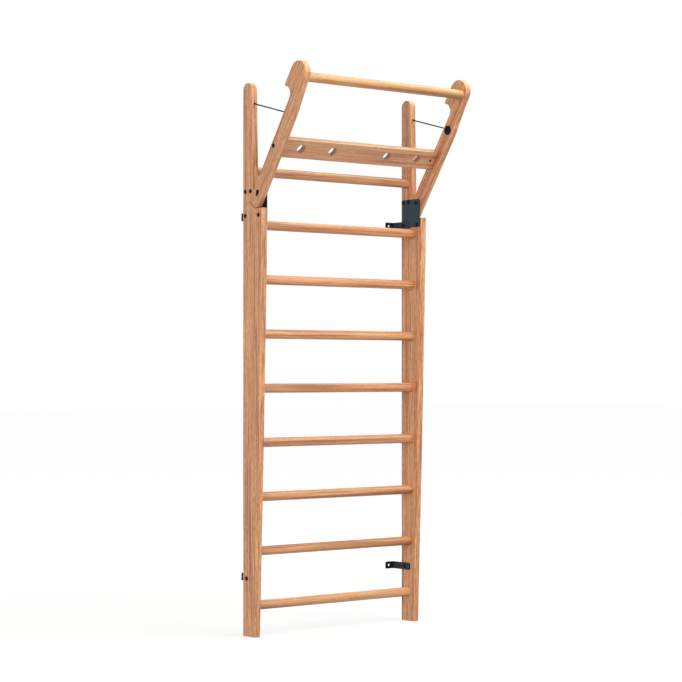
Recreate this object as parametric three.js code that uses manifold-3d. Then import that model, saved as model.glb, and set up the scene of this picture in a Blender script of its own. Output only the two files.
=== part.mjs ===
// Swedish wall bars with a folding pull-up frame, in millimetres with +Z up.
// The wall is the plane Y = 0 and the bars stand in front of it, towards -Y.
// X = 0 is the middle of the width and Z = 0 is the floor under the posts.
// The pull-up frame is drawn open, resting on its stops.
import * as THREE from "three";
import { mergeVertices } from "three/addons/utils/BufferGeometryUtils.js";
import Module from "manifold-3d";

const wasm = await Module();
wasm.setup();

const degrees = (angle) => THREE.MathUtils.degToRad(angle);

// Layout and fits
const clearWidth = 754; // between the inner faces of the posts
const woodThickness = 26; // posts and arms
const woodEdge = 2; // rounded-over edges
const wallGap = 50; // rear faces of the posts to the wall
const fitGap = 0.3; // between pieces that touch
const cutPast = 1; // how far a cutter runs past a face

// Rungs
const rungDiameter = 36;
const rungSocketDepth = 18;
const rungPitch = 202;
const lowestRungHeight = 116.5;
const lowerRungCount = 8;
const rungDepthShare = 0.55; // of the post's depth at the rung's height
const topRungAboveShoulder = 139.3;

// Posts
const footDepth = 72;
const shoulderDepth = 119.5;
const frontBulge = 2.5; // of the front edge, at half height
const topDepth = 54; // width of the rounded top
const shoulderAboveRung = 61.2; // over the highest of the lower rungs
const topAboveShoulder = 468.8;

// Arms of the pull-up frame
const armWidth = 52;
const armSetback = 2.5; // arm's front edge behind the shoulder's, at the pivot
const armTail = 53; // pivot to the rear corner of the lower end
const armEndSlant = degrees(7);
const armHeelRadius = 3;
const armToeRadius = 10;
const toeDip = 1.9; // of the toe's own circle under the shoulder's level, which the lift makes up for
const armTaperStart = 300; // along the arm from the pivot
const openLean = degrees(34.2);
const pocketGap = 0.5; // round the sweep of the arm's lower end
const notchGap = 2.2; // round the post's top when the frame is folded
const hookSweep = degrees(118); // of the notch, from the arm's rear edge to the hook's tip
const hookClearance = 0.7; // of the notch over the post's top, with the frame folded and lifted
const headRadius = 45;
const headReach = 477; // pivot to the head's centre, along the arm
const headSetback = 32; // head's centre behind the arm's centre line
const liftTravel = 7.5; // along the arm, to pass the posts' tops
const slotSpare = 3.5; // of the pivot's slot, past that lift

// Pull-up bar
const barDiameter = 36;
const barSocketDepth = 18;
const barReach = 475.7;
const barSetback = 8.5;

// Crossboard with finger holes
const boardThickness = 26;
const boardHeight = 76;
const boardReach = 188.6;
const boardInset = 1.9; // board's rear face in front of the arms' rear edges
const boardEdge = 2;
const fingerHoleDiameter = 36;
const innerFingerHole = 133; // from the middle of the width
const outerFingerHole = 282;
const barrelNutDiameter = 10;
const barrelNutLength = 20;
const barrelNutInset = 23; // from the end of the board
const barrelNutSink = 0.5;
const boardBoltPast = 8; // bolt's end past the barrel nut's centre

// Screws and sleeve nuts with button heads
const buttonDiameter = 16;
const buttonHeight = 3;
const buttonRim = 0.8;
const screwDiameter = 6;
const screwLength = 18;
const sleeveDiameter = 9;
const sleeveSetback = 4; // sleeve's end below the wood's outer face
const sleeveBoreSpare = 2;
const bushDiameter = 12;

// Hinge plates
const plateThickness = 4;
const plateCorner = 8;
const plateRearInset = 6.5;
const plateFrontInset = 8.3;
const plateBelowShoulder = 35.7;
const plateAboveShoulder = 74.3;
const plateScrewInset = 10; // from the plate's top and bottom edges
const plateScrewFrontInset = 14.7;
const rearScrewDepth = 15; // from the post's rear face
const middleScrewDepth = 46.6;

// Wall brackets
const bracketThickness = 4;
const bracketHeight = 28;
const bracketBend = 1.5; // inner radius
const bracketCorner = 6;
const bracketOnPost = 52.7; // from the post's rear face to the leg's end
const bracketFlange = 42; // along the wall
const bracketHoleDiameter = 10;
const bracketHoleInset = 16; // from the flange's end
const upperBracketScrewDepth = 15; // from the post's rear face
const lowerBracketScrewDepth = 23;
const lowerBracketHeight = 216; // above the floor

// Stay cables
const cableDiameter = 5;
const cableBelowTop = 79.5;
const cableReach = 325.6; // pivot to the cap's centre, along the arm
const cableRise = 3; // cable's end over the cap's centre
const cableSleeveDiameter = 9;
const cableSleeveLength = 20;
const cableSleeveProud = 0.5;
const cableEndInset = 1;
const cableStopDiameter = 9;
const cableStopLength = 9;
const cableHoleDiameter = 7;
const capDiameter = 36;
const capThickness = 3;
const capEdge = 1;
const capBoreDiameter = 28;
const capBoreDepth = 20;
const capPlugLength = 6;

// Facets
const curveSteps = 6; // per curve, and twice as many per arc
const cornerSteps = 2; // the same, for small rounded corners
const rungSides = 20;
const buttonSides = 12;
const cableSides = 8;
const domeSteps = 2;
const edgeSteps = 2;
const sweepSteps = 60; // of the fold, to find what it sweeps

// Finishes
const woodFinish = { color: 0xc98a5a, roughness: 0.55, metalness: 0 };
const steelFinish = { color: 0x3a444d, roughness: 0.5, metalness: 0.6 };
const screwFinish = { color: 0x121212, roughness: 0.4, metalness: 0.7 };
const capFinish = { color: 0x141414, roughness: 0.6, metalness: 0 };
const bushFinish = { color: 0x161616, roughness: 0.5, metalness: 0 };

// Heights that the pieces share
const highestLowerRung = lowestRungHeight + rungPitch * (lowerRungCount - 1);
const shoulderHeight = highestLowerRung + shoulderAboveRung;
const postHeight = shoulderHeight + topAboveShoulder;
const topRungHeight = shoulderHeight + topRungAboveShoulder;

// The arm's lower end is cut on a slant between two rounded corners: the heel at the rear and the toe in front.
// As the arm folds and lifts, its heel sweeps just over the pocket's floor and its toe just over the shoulder.
const halfArm = armWidth / 2;
const heelTangent = armHeelRadius / Math.tan((Math.PI / 2 + armEndSlant) / 2);
const heelCentre = new THREE.Vector2(armHeelRadius - halfArm, heelTangent - armTail);
const toeCornerAlong = -armTail - armWidth * Math.tan(armEndSlant);
const toeTangent = armToeRadius / Math.tan((Math.PI / 2 - armEndSlant) / 2);
const toeCentre = new THREE.Vector2(halfArm - armToeRadius, toeCornerAlong + toeTangent);
const toeReach = toeCentre.length() + armToeRadius;
const pivotHeight = shoulderHeight + toeReach + pocketGap - toeDip;
const pivot = new THREE.Vector2(shoulderDepth - armSetback - halfArm, pivotHeight);

// Folded, the arm's rear edge runs along the post's neck and its notch wraps the post's round top.
// The frame is lifted along its slot to pass the posts' tops, so the notch sits lower on the arm by that travel.
const topRadius = topDepth / 2;
const topCentre = new THREE.Vector2(topRadius, postHeight - topRadius);
const notchRadius = topRadius + notchGap;
const notchSetback = halfArm + notchRadius;
const pivotToTop = topCentre.clone().sub(pivot);
const topBearing = Math.atan2(pivotToTop.x, pivotToTop.y);
const foldedLean = topBearing + Math.asin(notchSetback / pivotToTop.length());
const topReach = Math.sqrt(pivotToTop.lengthSq() - notchSetback ** 2);
const notchReach = topReach - liftTravel + hookClearance;

// A point of the arm in the open arm's frame, after a share of the fold and of the lift that goes with it.
function afterFold(point, share) {
  const lifted = new THREE.Vector2(point.x, point.y + liftTravel * share);
  return lifted.rotateAround(new THREE.Vector2(), (openLean - foldedLean) * share);
}

// How far the heel sweeps from the pivot, square to the arm's slanted end.
const endOut = new THREE.Vector2(-Math.sin(armEndSlant), -Math.cos(armEndSlant));
const foldShares = Array.from({ length: sweepSteps + 1 }, (_, i) => i / sweepSteps);
const heelSweep = foldShares.map((share) => afterFold(heelCentre, share).dot(endOut) + armHeelRadius);
const heelReach = Math.max(...heelSweep);

// A point of the arm, across and along it from the pivot, in depth and height at a given lean.
function fromArm(across, along, lean) {
  return new THREE.Vector2(across, along).rotateAround(new THREE.Vector2(), -lean).add(pivot);
}

// Where the line through a and b meets the line through c and d.
function crossing(a, b, c, d) {
  const first = b.clone().sub(a);
  const second = d.clone().sub(c);
  const share = c.clone().sub(a).cross(second) / first.cross(second);
  return a.clone().addScaledVector(first, share);
}

// Depth of the post's front edge at a height: its bowed lower part, or the neck above the shoulder.
function postDepthAt(height) {
  if (height > shoulderHeight) {
    const low = fromArm(-halfArm - notchGap, 0, foldedLean);
    const high = fromArm(-halfArm - notchGap, topReach, foldedLean);
    const level = new THREE.Vector2(0, height);
    return crossing(low, high, level, new THREE.Vector2(1, height)).x;
  }
  const share = height / shoulderHeight;
  const straight = THREE.MathUtils.lerp(footDepth, shoulderDepth, share);
  return straight + 4 * frontBulge * share * (1 - share);
}

// Solids for cutting and joining

function solid(geometry) {
  const bare = geometry.clone();
  bare.deleteAttribute("normal");
  bare.deleteAttribute("uv");
  const merged = mergeVertices(bare, 1e-4);
  const corners = merged.index.array;
  const kept = [];
  for (let i = 0; i < corners.length; i += 3) {
    const [a, b, c] = corners.slice(i, i + 3);
    if (a !== b && b !== c && c !== a) kept.push(a, b, c);
  }
  const vertProperties = merged.attributes.position.array;
  const triVerts = new Uint32Array(kept);
  return new wasm.Manifold(new wasm.Mesh({ numProp: 3, vertProperties, triVerts }));
}

function geometryOf(manifold) {
  const { vertProperties, triVerts } = manifold.getMesh();
  const indexed = new THREE.BufferGeometry();
  indexed.setAttribute("position", new THREE.BufferAttribute(vertProperties, 3));
  indexed.setIndex(new THREE.BufferAttribute(triVerts, 1));
  const faceted = indexed.toNonIndexed();
  faceted.computeVertexNormals();
  return faceted;
}

function cut(geometry, cutters) {
  const left = cutters.reduce((body, cutter) => body.subtract(solid(cutter)), solid(geometry));
  return geometryOf(left);
}

function common(geometry, others) {
  const left = others.reduce((body, other) => body.intersect(solid(other)), solid(geometry));
  return geometryOf(left);
}

// A shape extruded along z from a start, with its face edges rounded over where an edge is given.
function slab(shape, thickness, start, { edge = 0, curveSegments = cornerSteps } = {}) {
  const geometry = new THREE.ExtrudeGeometry(shape, {
    depth: thickness - 2 * edge,
    curveSegments,
    steps: 1,
    bevelEnabled: edge > 0,
    bevelThickness: edge,
    bevelSize: edge,
    bevelOffset: -edge,
    bevelSegments: edgeSteps,
  });
  return geometry.translate(0, 0, start + edge);
}

// A round bar along z between two ends.
function roundBar(diameter, start, end, sides) {
  const geometry = new THREE.CylinderGeometry(diameter / 2, diameter / 2, end - start, sides);
  return geometry.rotateX(Math.PI / 2).translate(0, 0, (start + end) / 2);
}

// A profile of radii and heights, turned about z.
function turned(profile, sides) {
  const points = profile.map(([radius, height]) => new THREE.Vector2(radius, height));
  return geometryOf(solid(new THREE.LatheGeometry(points, sides).rotateX(Math.PI / 2)));
}

// A rectangle with its corners rounded.
function roundedRectangle(left, bottom, right, top, radius) {
  const shape = new THREE.Shape();
  shape.moveTo(left + radius, bottom);
  shape.lineTo(right - radius, bottom);
  shape.absarc(right - radius, bottom + radius, radius, -Math.PI / 2, 0, false);
  shape.lineTo(right, top - radius);
  shape.absarc(right - radius, top - radius, radius, 0, Math.PI / 2, false);
  shape.lineTo(left + radius, top);
  shape.absarc(left + radius, top - radius, radius, Math.PI / 2, Math.PI, false);
  shape.lineTo(left, bottom + radius);
  shape.absarc(left + radius, bottom + radius, radius, Math.PI, 1.5 * Math.PI, false);
  return shape;
}

function piece(name, geometry, finish) {
  const mesh = new THREE.Mesh(geometry, new THREE.MeshStandardMaterial(finish));
  mesh.name = name;
  return mesh;
}

// Frames: x is the depth forward of the posts' rear faces, y the height and z the way out to the left.

function sideFrame(x) {
  const frame = new THREE.Group();
  const forward = new THREE.Vector3(0, -1, 0);
  const up = new THREE.Vector3(0, 0, 1);
  const outward = new THREE.Vector3(-1, 0, 0);
  frame.setRotationFromMatrix(new THREE.Matrix4().makeBasis(forward, up, outward));
  frame.position.set(x, -wallGap, 0);
  return frame;
}

// x is across the open arm, to its front, y along it from the pivot and z the way out to the left.
function armFrame() {
  const frame = new THREE.Group();
  frame.position.set(pivot.x, pivot.y, 0);
  frame.rotation.z = -openLean;
  return frame;
}

// Stay cable from the post's neck to the arm, in depth and height
const cableHeight = postHeight - cableBelowTop;
const cableStart = new THREE.Vector2(postDepthAt(cableHeight), cableHeight);
const cableEnd = fromArm(0, cableReach + cableRise, openLean);
const cableWay = cableEnd.clone().sub(cableStart).normalize();
const cableSpan = cableEnd.distanceTo(cableStart);
const capFromEnd = fromArm(0, cableReach, openLean).sub(cableEnd);
const cableStopRim = cableStopDiameter / 2 + Math.abs(capFromEnd.cross(cableWay));
const capBoreChord = Math.sqrt((capBoreDiameter / 2) ** 2 - cableStopRim ** 2);
const cableStopFace = capBoreChord - capFromEnd.dot(cableWay) - fitGap;

// A geometry drawn along z, laid along the cable with z = 0 where the cable leaves the post.
function alongCable(geometry) {
  const forward = new THREE.Vector3(cableWay.x, cableWay.y, 0);
  const out = new THREE.Vector3(0, 0, 1);
  const across = new THREE.Vector3().crossVectors(out, forward);
  const turn = new THREE.Matrix4().makeBasis(across, out, forward);
  const start = new THREE.Vector3(cableStart.x, cableStart.y, woodThickness / 2);
  return geometry.applyMatrix4(turn).translate(start.x, start.y, start.z);
}

// The same, in the arm's own frame.
function alongCableInArm(geometry) {
  return alongCable(geometry).translate(-pivot.x, -pivot.y, 0).rotateZ(openLean);
}

// Rungs, from the floor up
const rungHeights = Array.from({ length: lowerRungCount }, (_, i) => lowestRungHeight + rungPitch * i);
rungHeights.push(topRungHeight);
const rungSpots = rungHeights.map((height) => new THREE.Vector2(rungDepthShare * postDepthAt(height), height));

// Screws through the hinge plate, and those of the wall brackets
const plateTop = shoulderHeight + plateAboveShoulder;
const plateBottom = shoulderHeight - plateBelowShoulder;
const plateRear = plateRearInset;
const plateFront = shoulderDepth - plateFrontInset;
const upperScrewHeight = plateTop - plateScrewInset;
const lowerScrewHeight = plateBottom + plateScrewInset;
const plateSeat = plateThickness + 2 * fitGap; // plate's inner side, from the post's inner face
const bracketSeat = bracketThickness + 2 * fitGap;

const screwSpots = [
  { name: "plate_rear", at: new THREE.Vector2(rearScrewDepth, upperScrewHeight), seat: plateSeat },
  { name: "plate_middle", at: new THREE.Vector2(middleScrewDepth, upperScrewHeight), seat: plateSeat },
  {
    name: "plate_front",
    at: new THREE.Vector2(plateFront - plateScrewFrontInset, lowerScrewHeight),
    seat: plateSeat,
  },
  { name: "pivot", at: pivot, seat: plateSeat },
  {
    name: "upper_bracket",
    at: new THREE.Vector2(upperBracketScrewDepth, lowerScrewHeight),
    seat: bracketSeat,
  },
  {
    name: "lower_bracket",
    at: new THREE.Vector2(lowerBracketScrewDepth, lowerBracketHeight),
    seat: bracketSeat,
  },
];
const postScrews = screwSpots.filter((spot) => spot.name !== "pivot");
const plateScrews = screwSpots.filter((spot) => !spot.name.endsWith("bracket"));

// A clearance hole for a sleeve nut, through what lies between two places along z.
function sleeveHole(at, start, end) {
  return roundBar(sleeveDiameter + 2 * fitGap, start, end, buttonSides).translate(at.x, at.y, 0);
}

// Posts

function postOutline() {
  const floorWay = new THREE.Vector2(Math.cos(armEndSlant), -Math.sin(armEndSlant));
  const floorStart = endOut.clone().multiplyScalar(heelReach + pocketGap);
  const floorEnd = floorStart.clone().add(floorWay);
  const floor = [floorStart, floorEnd].map((point) => fromArm(point.x, point.y, openLean));
  const stopAcross = -halfArm - fitGap;
  const stop = [fromArm(stopAcross, 0, openLean), fromArm(stopAcross, 1, openLean)];
  const neckAcross = -halfArm - notchGap;
  const neck = [fromArm(neckAcross, 0, foldedLean), fromArm(neckAcross, topReach, foldedLean)];
  const shoulder = [new THREE.Vector2(0, shoulderHeight), new THREE.Vector2(1, shoulderHeight)];

  const pocketToe = crossing(...shoulder, ...floor);
  const pocketHeel = crossing(...floor, ...stop);
  const neckFoot = crossing(...stop, ...neck);
  const middleDepth = (footDepth + shoulderDepth) / 2 + 2 * frontBulge;

  const shape = new THREE.Shape();
  shape.moveTo(0, 0);
  shape.lineTo(footDepth, 0);
  shape.quadraticCurveTo(middleDepth, shoulderHeight / 2, shoulderDepth, shoulderHeight);
  shape.lineTo(pocketToe.x, pocketToe.y);
  shape.lineTo(pocketHeel.x, pocketHeel.y);
  shape.lineTo(neckFoot.x, neckFoot.y);
  shape.lineTo(neck[1].x, neck[1].y);
  shape.absarc(topCentre.x, topCentre.y, topRadius, -foldedLean, Math.PI, false);
  shape.lineTo(0, 0);
  return shape;
}

function post(side) {
  const blank = slab(postOutline(), woodThickness, 0, { edge: woodEdge, curveSegments: curveSteps });
  const sockets = rungSpots.map((spot) =>
    roundBar(rungDiameter + 2 * fitGap, -cutPast, rungSocketDepth, rungSides).translate(spot.x, spot.y, 0),
  );
  const holes = postScrews.map((spot) => sleeveHole(spot.at, -cutPast, woodThickness + cutPast));
  const cableBore = alongCable(
    roundBar(
      cableSleeveDiameter + 2 * fitGap,
      cableSleeveProud - cableSleeveLength - fitGap,
      cableSleeveDiameter,
      buttonSides,
    ),
  );
  return piece(`${side}_post`, cut(blank, [...sockets, ...holes, cableBore]), woodFinish);
}

function rung(spot, number) {
  const reach = clearWidth / 2 + rungSocketDepth - fitGap;
  const mesh = piece(`rung_${number}`, roundBar(rungDiameter, -reach, reach, rungSides), woodFinish);
  mesh.position.set(spot.x, spot.y, 0);
  return mesh;
}

// Arms

function armOutline() {
  const headAcross = -headSetback;
  const hookAlong = notchReach + notchRadius * Math.sin(hookSweep);
  const hookAcross = -notchSetback + notchRadius * Math.cos(hookSweep);
  const headFront = headAcross + headRadius;
  const taperMiddle = (armTaperStart + headReach) / 2;

  const shape = new THREE.Shape();
  const endTurn = 1.5 * Math.PI - armEndSlant;
  shape.moveTo(-halfArm, heelCentre.y);
  shape.absarc(heelCentre.x, heelCentre.y, armHeelRadius, Math.PI, endTurn, false);
  shape.absarc(toeCentre.x, toeCentre.y, armToeRadius, endTurn, 2 * Math.PI, false);
  shape.lineTo(halfArm, armTaperStart);
  shape.bezierCurveTo(halfArm, taperMiddle, headFront, taperMiddle, headFront, headReach);
  shape.absarc(headAcross, headReach, headRadius, 0, Math.PI, false);
  shape.lineTo(headAcross - headRadius, hookAlong);
  shape.lineTo(hookAcross, hookAlong);
  shape.absarc(-notchSetback, notchReach, notchRadius, hookSweep, 0, true);
  shape.lineTo(-halfArm, heelCentre.y);
  return shape;
}

function liftSlot() {
  const radius = bushDiameter / 2 + fitGap;
  const shape = new THREE.Shape();
  shape.absarc(0, 0, radius, 0, Math.PI, false);
  shape.absarc(0, -liftTravel - slotSpare, radius, Math.PI, 2 * Math.PI, false);
  return slab(shape, woodThickness + 2 * cutPast, -cutPast, { curveSegments: curveSteps });
}

const boardAcross = boardInset + (boardThickness - armWidth) / 2; // board's middle

function arm(side) {
  const blank = slab(armOutline(), woodThickness, 0, { edge: woodEdge, curveSegments: curveSteps });
  const barSocket = roundBar(barDiameter + 2 * fitGap, -cutPast, barSocketDepth, rungSides);
  barSocket.translate(-barSetback, barReach, 0);
  const boltHole = roundBar(screwDiameter + 2 * fitGap, -cutPast, woodThickness + cutPast, buttonSides);
  boltHole.translate(boardAcross, boardReach, 0);
  const capBore = roundBar(capBoreDiameter, -cutPast, capBoreDepth, rungSides);
  capBore.translate(0, cableReach, 0);
  const cableHole = alongCableInArm(
    roundBar(cableHoleDiameter, cableSpan - armWidth, cableSpan, buttonSides),
  );
  return piece(`${side}_arm`, cut(blank, [liftSlot(), barSocket, boltHole, capBore, cableHole]), woodFinish);
}

function pullUpBar() {
  const reach = clearWidth / 2 + barSocketDepth - fitGap;
  const mesh = piece("pull_up_bar", roundBar(barDiameter, -reach, reach, rungSides), woodFinish);
  mesh.position.set(-barSetback, barReach, 0);
  return mesh;
}

// Crossboard, drawn about its own middle

const boardReachOut = clearWidth / 2 - fitGap; // from the middle of the width to the board's end
const nutOuterFace = boardThickness / 2 - barrelNutSink;
const nutInnerFace = nutOuterFace - barrelNutLength;

// A round bar across the board, at a place along the board and between two depths.
function acrossBoard(diameter, start, end, place, sides) {
  return roundBar(diameter, start, end, sides).rotateY(Math.PI / 2).translate(0, 0, place);
}

// The right barrel nut goes in from the board's front face, and the left one from its rear face.
function nutBar(side, diameter, inner, outer, place) {
  return side === "right"
    ? acrossBoard(diameter, inner, outer, place, buttonSides)
    : acrossBoard(diameter, -outer, -inner, place, buttonSides);
}

function crossboard() {
  const halfThickness = boardThickness / 2;
  const halfHeight = boardHeight / 2;
  const section = roundedRectangle(-halfThickness, -halfHeight, halfThickness, halfHeight, boardEdge);
  const blank = slab(section, 2 * boardReachOut, -boardReachOut);
  const cutters = [];
  for (const [side, way] of [["right", -1], ["left", 1]]) {
    for (const spot of [innerFingerHole, outerFingerHole]) {
      const past = halfThickness + cutPast;
      cutters.push(acrossBoard(fingerHoleDiameter, -past, past, way * spot, rungSides));
    }
    const nutSpot = way * (boardReachOut - barrelNutInset);
    const nutHole = barrelNutDiameter + 2 * fitGap;
    cutters.push(nutBar(side, nutHole, nutInnerFace - fitGap, halfThickness + cutPast, nutSpot));
    const boltEnd = boardReachOut - barrelNutInset - boardBoltPast - fitGap;
    const boltHole = roundBar(screwDiameter + 2 * fitGap, boltEnd, boardReachOut + cutPast, buttonSides);
    cutters.push(way > 0 ? boltHole : boltHole.rotateY(Math.PI));
  }
  const mesh = piece("crossboard", cut(blank, cutters), woodFinish);
  mesh.position.set(boardAcross, boardReach, 0);
  return mesh;
}

function barrelNut(side) {
  const blank = nutBar(side, barrelNutDiameter, nutInnerFace, nutOuterFace, 0);
  const thread = roundBar(screwDiameter + 2 * fitGap, -barrelNutDiameter, barrelNutDiameter, buttonSides);
  const mesh = piece(`${side}_barrel_nut`, cut(blank, [thread]), screwFinish);
  mesh.position.set(boardAcross, boardReach, -fitGap - barrelNutInset);
  return mesh;
}

// Fasteners

// The rising curve of a button head, from its rim to its crown.
function buttonDome() {
  const rise = buttonHeight - buttonRim;
  return Array.from({ length: domeSteps + 1 }, (_, i) => {
    const turn = (i / domeSteps) * (Math.PI / 2);
    return [(buttonDiameter / 2) * Math.cos(turn), buttonRim + rise * Math.sin(turn)];
  });
}

function buttonScrew(name, at, length) {
  const shank = screwDiameter / 2;
  const profile = [[0, -length], [shank, -length], [shank, 0], [buttonDiameter / 2, 0], ...buttonDome()];
  profile[profile.length - 1][0] = 0;
  const mesh = piece(name, turned(profile, buttonSides), screwFinish);
  mesh.position.set(at.x, at.y, woodThickness + fitGap);
  return mesh;
}

function sleeveNut(name, at, seat) {
  const outer = sleeveDiameter / 2;
  const bore = screwDiameter / 2 + fitGap;
  const end = woodThickness - sleeveSetback;
  const boreEnd = woodThickness - screwLength - sleeveBoreSpare;
  const head = buttonDome().map(([radius, height]) => [radius, -seat - height]);
  head[head.length - 1][0] = 0;
  head.reverse();
  const sleeve = [[buttonDiameter / 2, -seat], [outer, -seat], [outer, end], [bore, end], [bore, boreEnd]];
  const profile = [...head, ...sleeve, [0, boreEnd]];
  const mesh = piece(name, turned(profile, buttonSides), screwFinish);
  mesh.position.set(at.x, at.y, 0);
  return mesh;
}

function ring(outerDiameter, innerDiameter, start, end) {
  const [outer, inner] = [outerDiameter / 2, innerDiameter / 2];
  return turned([[inner, start], [outer, start], [outer, end], [inner, end], [inner, start]], buttonSides);
}

function pivotBush(side) {
  const mesh = ring(bushDiameter, sleeveDiameter + 2 * fitGap, 0, woodThickness);
  const bush = piece(`${side}_pivot_bush`, mesh, bushFinish);
  bush.position.set(pivot.x, pivot.y, 0);
  return bush;
}

// Hinge plates and wall brackets

// The plate's lower rear corner is cut out round the upper wall bracket.
function hingePlate(side) {
  const outline = roundedRectangle(plateRear, plateBottom, plateFront, plateTop, plateCorner);
  const start = -fitGap - plateThickness;
  const holes = plateScrews.map((spot) => sleeveHole(spot.at, start - cutPast, 0));
  const cornerFront = bracketOnPost + fitGap;
  const cornerTop = lowerScrewHeight + bracketHeight / 2 + fitGap;
  const cornerRear = plateRear - bracketCorner - cutPast;
  const cornerBottom = plateBottom - bracketCorner - cutPast;
  const corner = roundedRectangle(cornerRear, cornerBottom, cornerFront, cornerTop, bracketCorner);
  const cutters = [...holes, slab(corner, plateThickness + 2 * cutPast, start - cutPast)];
  return piece(`${side}_hinge_plate`, cut(slab(outline, plateThickness, start), cutters), steelFinish);
}

// An angle bent from flat strip, drawn in depth and inward from the post, with its screw at height 0.
function wallBracket(name, height, screwDepth) {
  const wall = -wallGap;
  const bendOuter = bracketBend + bracketThickness;
  const flange = bracketFlange;
  const strip = new THREE.Shape();
  strip.moveTo(bracketOnPost, 0);
  strip.lineTo(bracketOnPost, bracketThickness);
  strip.lineTo(wall + bendOuter, bracketThickness);
  strip.absarc(wall + bendOuter, bendOuter, bracketBend, -Math.PI / 2, -Math.PI, true);
  strip.lineTo(wall + bracketThickness, flange);
  strip.lineTo(wall, flange);
  strip.lineTo(wall, bendOuter);
  strip.absarc(wall + bendOuter, bendOuter, bendOuter, Math.PI, 1.5 * Math.PI, false);
  strip.lineTo(bracketOnPost, 0);

  const half = bracketHeight / 2;
  const past = bracketCorner + cutPast;
  const bent = slab(strip, bracketHeight, -half).rotateX(-Math.PI / 2);
  const legOutline = roundedRectangle(wall - past, -half, bracketOnPost, half, bracketCorner);
  const legEnds = slab(legOutline, flange + 2 * cutPast, -flange - cutPast);
  const flangeOutline = roundedRectangle(-past, -half, flange, half, bracketCorner);
  const flangeEnds = slab(flangeOutline, wallGap + bracketOnPost + 2 * cutPast, wall - cutPast);
  flangeEnds.rotateY(Math.PI / 2);

  const postHole = sleeveHole(new THREE.Vector2(screwDepth, 0), -bracketThickness - cutPast, cutPast);
  const wallHole = roundBar(bracketHoleDiameter, wall - cutPast, wall + bracketThickness + cutPast, buttonSides);
  wallHole.rotateY(Math.PI / 2).translate(0, 0, bracketHoleInset - flange);

  const shaped = common(bent, [legEnds, flangeEnds]);
  const mesh = piece(name, cut(shaped, [postHole, wallHole]), steelFinish);
  mesh.position.set(0, height, -fitGap);
  return mesh;
}

// Stay cables and what holds their ends

function cable(side) {
  const start = cableSleeveProud - cableSleeveLength + cableEndInset;
  const end = cableSpan - cableStopFace - fitGap;
  return piece(`${side}_stay_cable`, alongCable(roundBar(cableDiameter, start, end, cableSides)), capFinish);
}

function cableSleeve(side) {
  const start = cableSleeveProud - cableSleeveLength;
  const tube = ring(cableSleeveDiameter, cableDiameter + 2 * fitGap, start, cableSleeveProud);
  return piece(`${side}_cable_sleeve`, alongCable(tube), screwFinish);
}

function cableStop(side) {
  const start = cableSpan - cableStopFace;
  const slug = roundBar(cableStopDiameter, start, start + cableStopLength, buttonSides);
  return piece(`${side}_cable_stop`, alongCableInArm(slug), screwFinish);
}

function cableCap(side) {
  const outer = capDiameter / 2;
  const plug = capBoreDiameter / 2 - fitGap;
  const face = -fitGap - capThickness;
  const profile = [
    [0, face],
    [outer - capEdge, face],
    [outer, face + capEdge],
    [outer, -fitGap],
    [plug, -fitGap],
    [plug, capPlugLength],
    [0, capPlugLength],
  ];
  const mesh = piece(`${side}_cable_cap`, turned(profile, rungSides), capFinish);
  mesh.position.set(0, cableReach, 0);
  return mesh;
}

// Assembly

function sideAssembly(side) {
  const frame = sideFrame(-clearWidth / 2);
  frame.add(post(side), hingePlate(side), pivotBush(side), cable(side), cableSleeve(side));
  frame.add(wallBracket(`${side}_upper_wall_bracket`, lowerScrewHeight, upperBracketScrewDepth));
  frame.add(wallBracket(`${side}_lower_wall_bracket`, lowerBracketHeight, lowerBracketScrewDepth));
  for (const spot of screwSpots) {
    frame.add(buttonScrew(`${side}_${spot.name}_screw`, spot.at, screwLength));
    frame.add(sleeveNut(`${side}_${spot.name}_sleeve_nut`, spot.at, spot.seat));
  }
  const boardBoltLength = woodThickness + 2 * fitGap + barrelNutInset + boardBoltPast;
  const boardBoltSpot = new THREE.Vector2(boardAcross, boardReach);
  const arms = armFrame();
  arms.add(arm(side), barrelNut(side), cableStop(side), cableCap(side));
  arms.add(buttonScrew(`${side}_crossboard_bolt`, boardBoltSpot, boardBoltLength));
  frame.add(arms);
  return frame;
}

const wallBars = new THREE.Group();
const rightHalf = new THREE.Group();
rightHalf.scale.x = -1;
rightHalf.add(sideAssembly("right"));
wallBars.add(sideAssembly("left"), rightHalf);

const middle = sideFrame(0);
rungSpots.forEach((spot, i) => middle.add(rung(spot, i + 1)));
const middleArms = armFrame();
middleArms.add(pullUpBar(), crossboard());
middle.add(middleArms);
wallBars.add(middle);

export default wallBars;
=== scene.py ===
"""Looks of wooden wall bars with a folding pull-up frame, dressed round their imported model.

Lengths are in metres. X runs along the rungs, Y = 0 is the wall with the front towards -Y, and Z is up.
"""

from __future__ import annotations

import logging
import math
from dataclasses import dataclass, replace
from enum import Enum
from typing import Any, Callable, Iterable, Mapping, Sequence, Union

import bmesh
import bpy
from mathutils import Matrix, Vector


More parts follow.
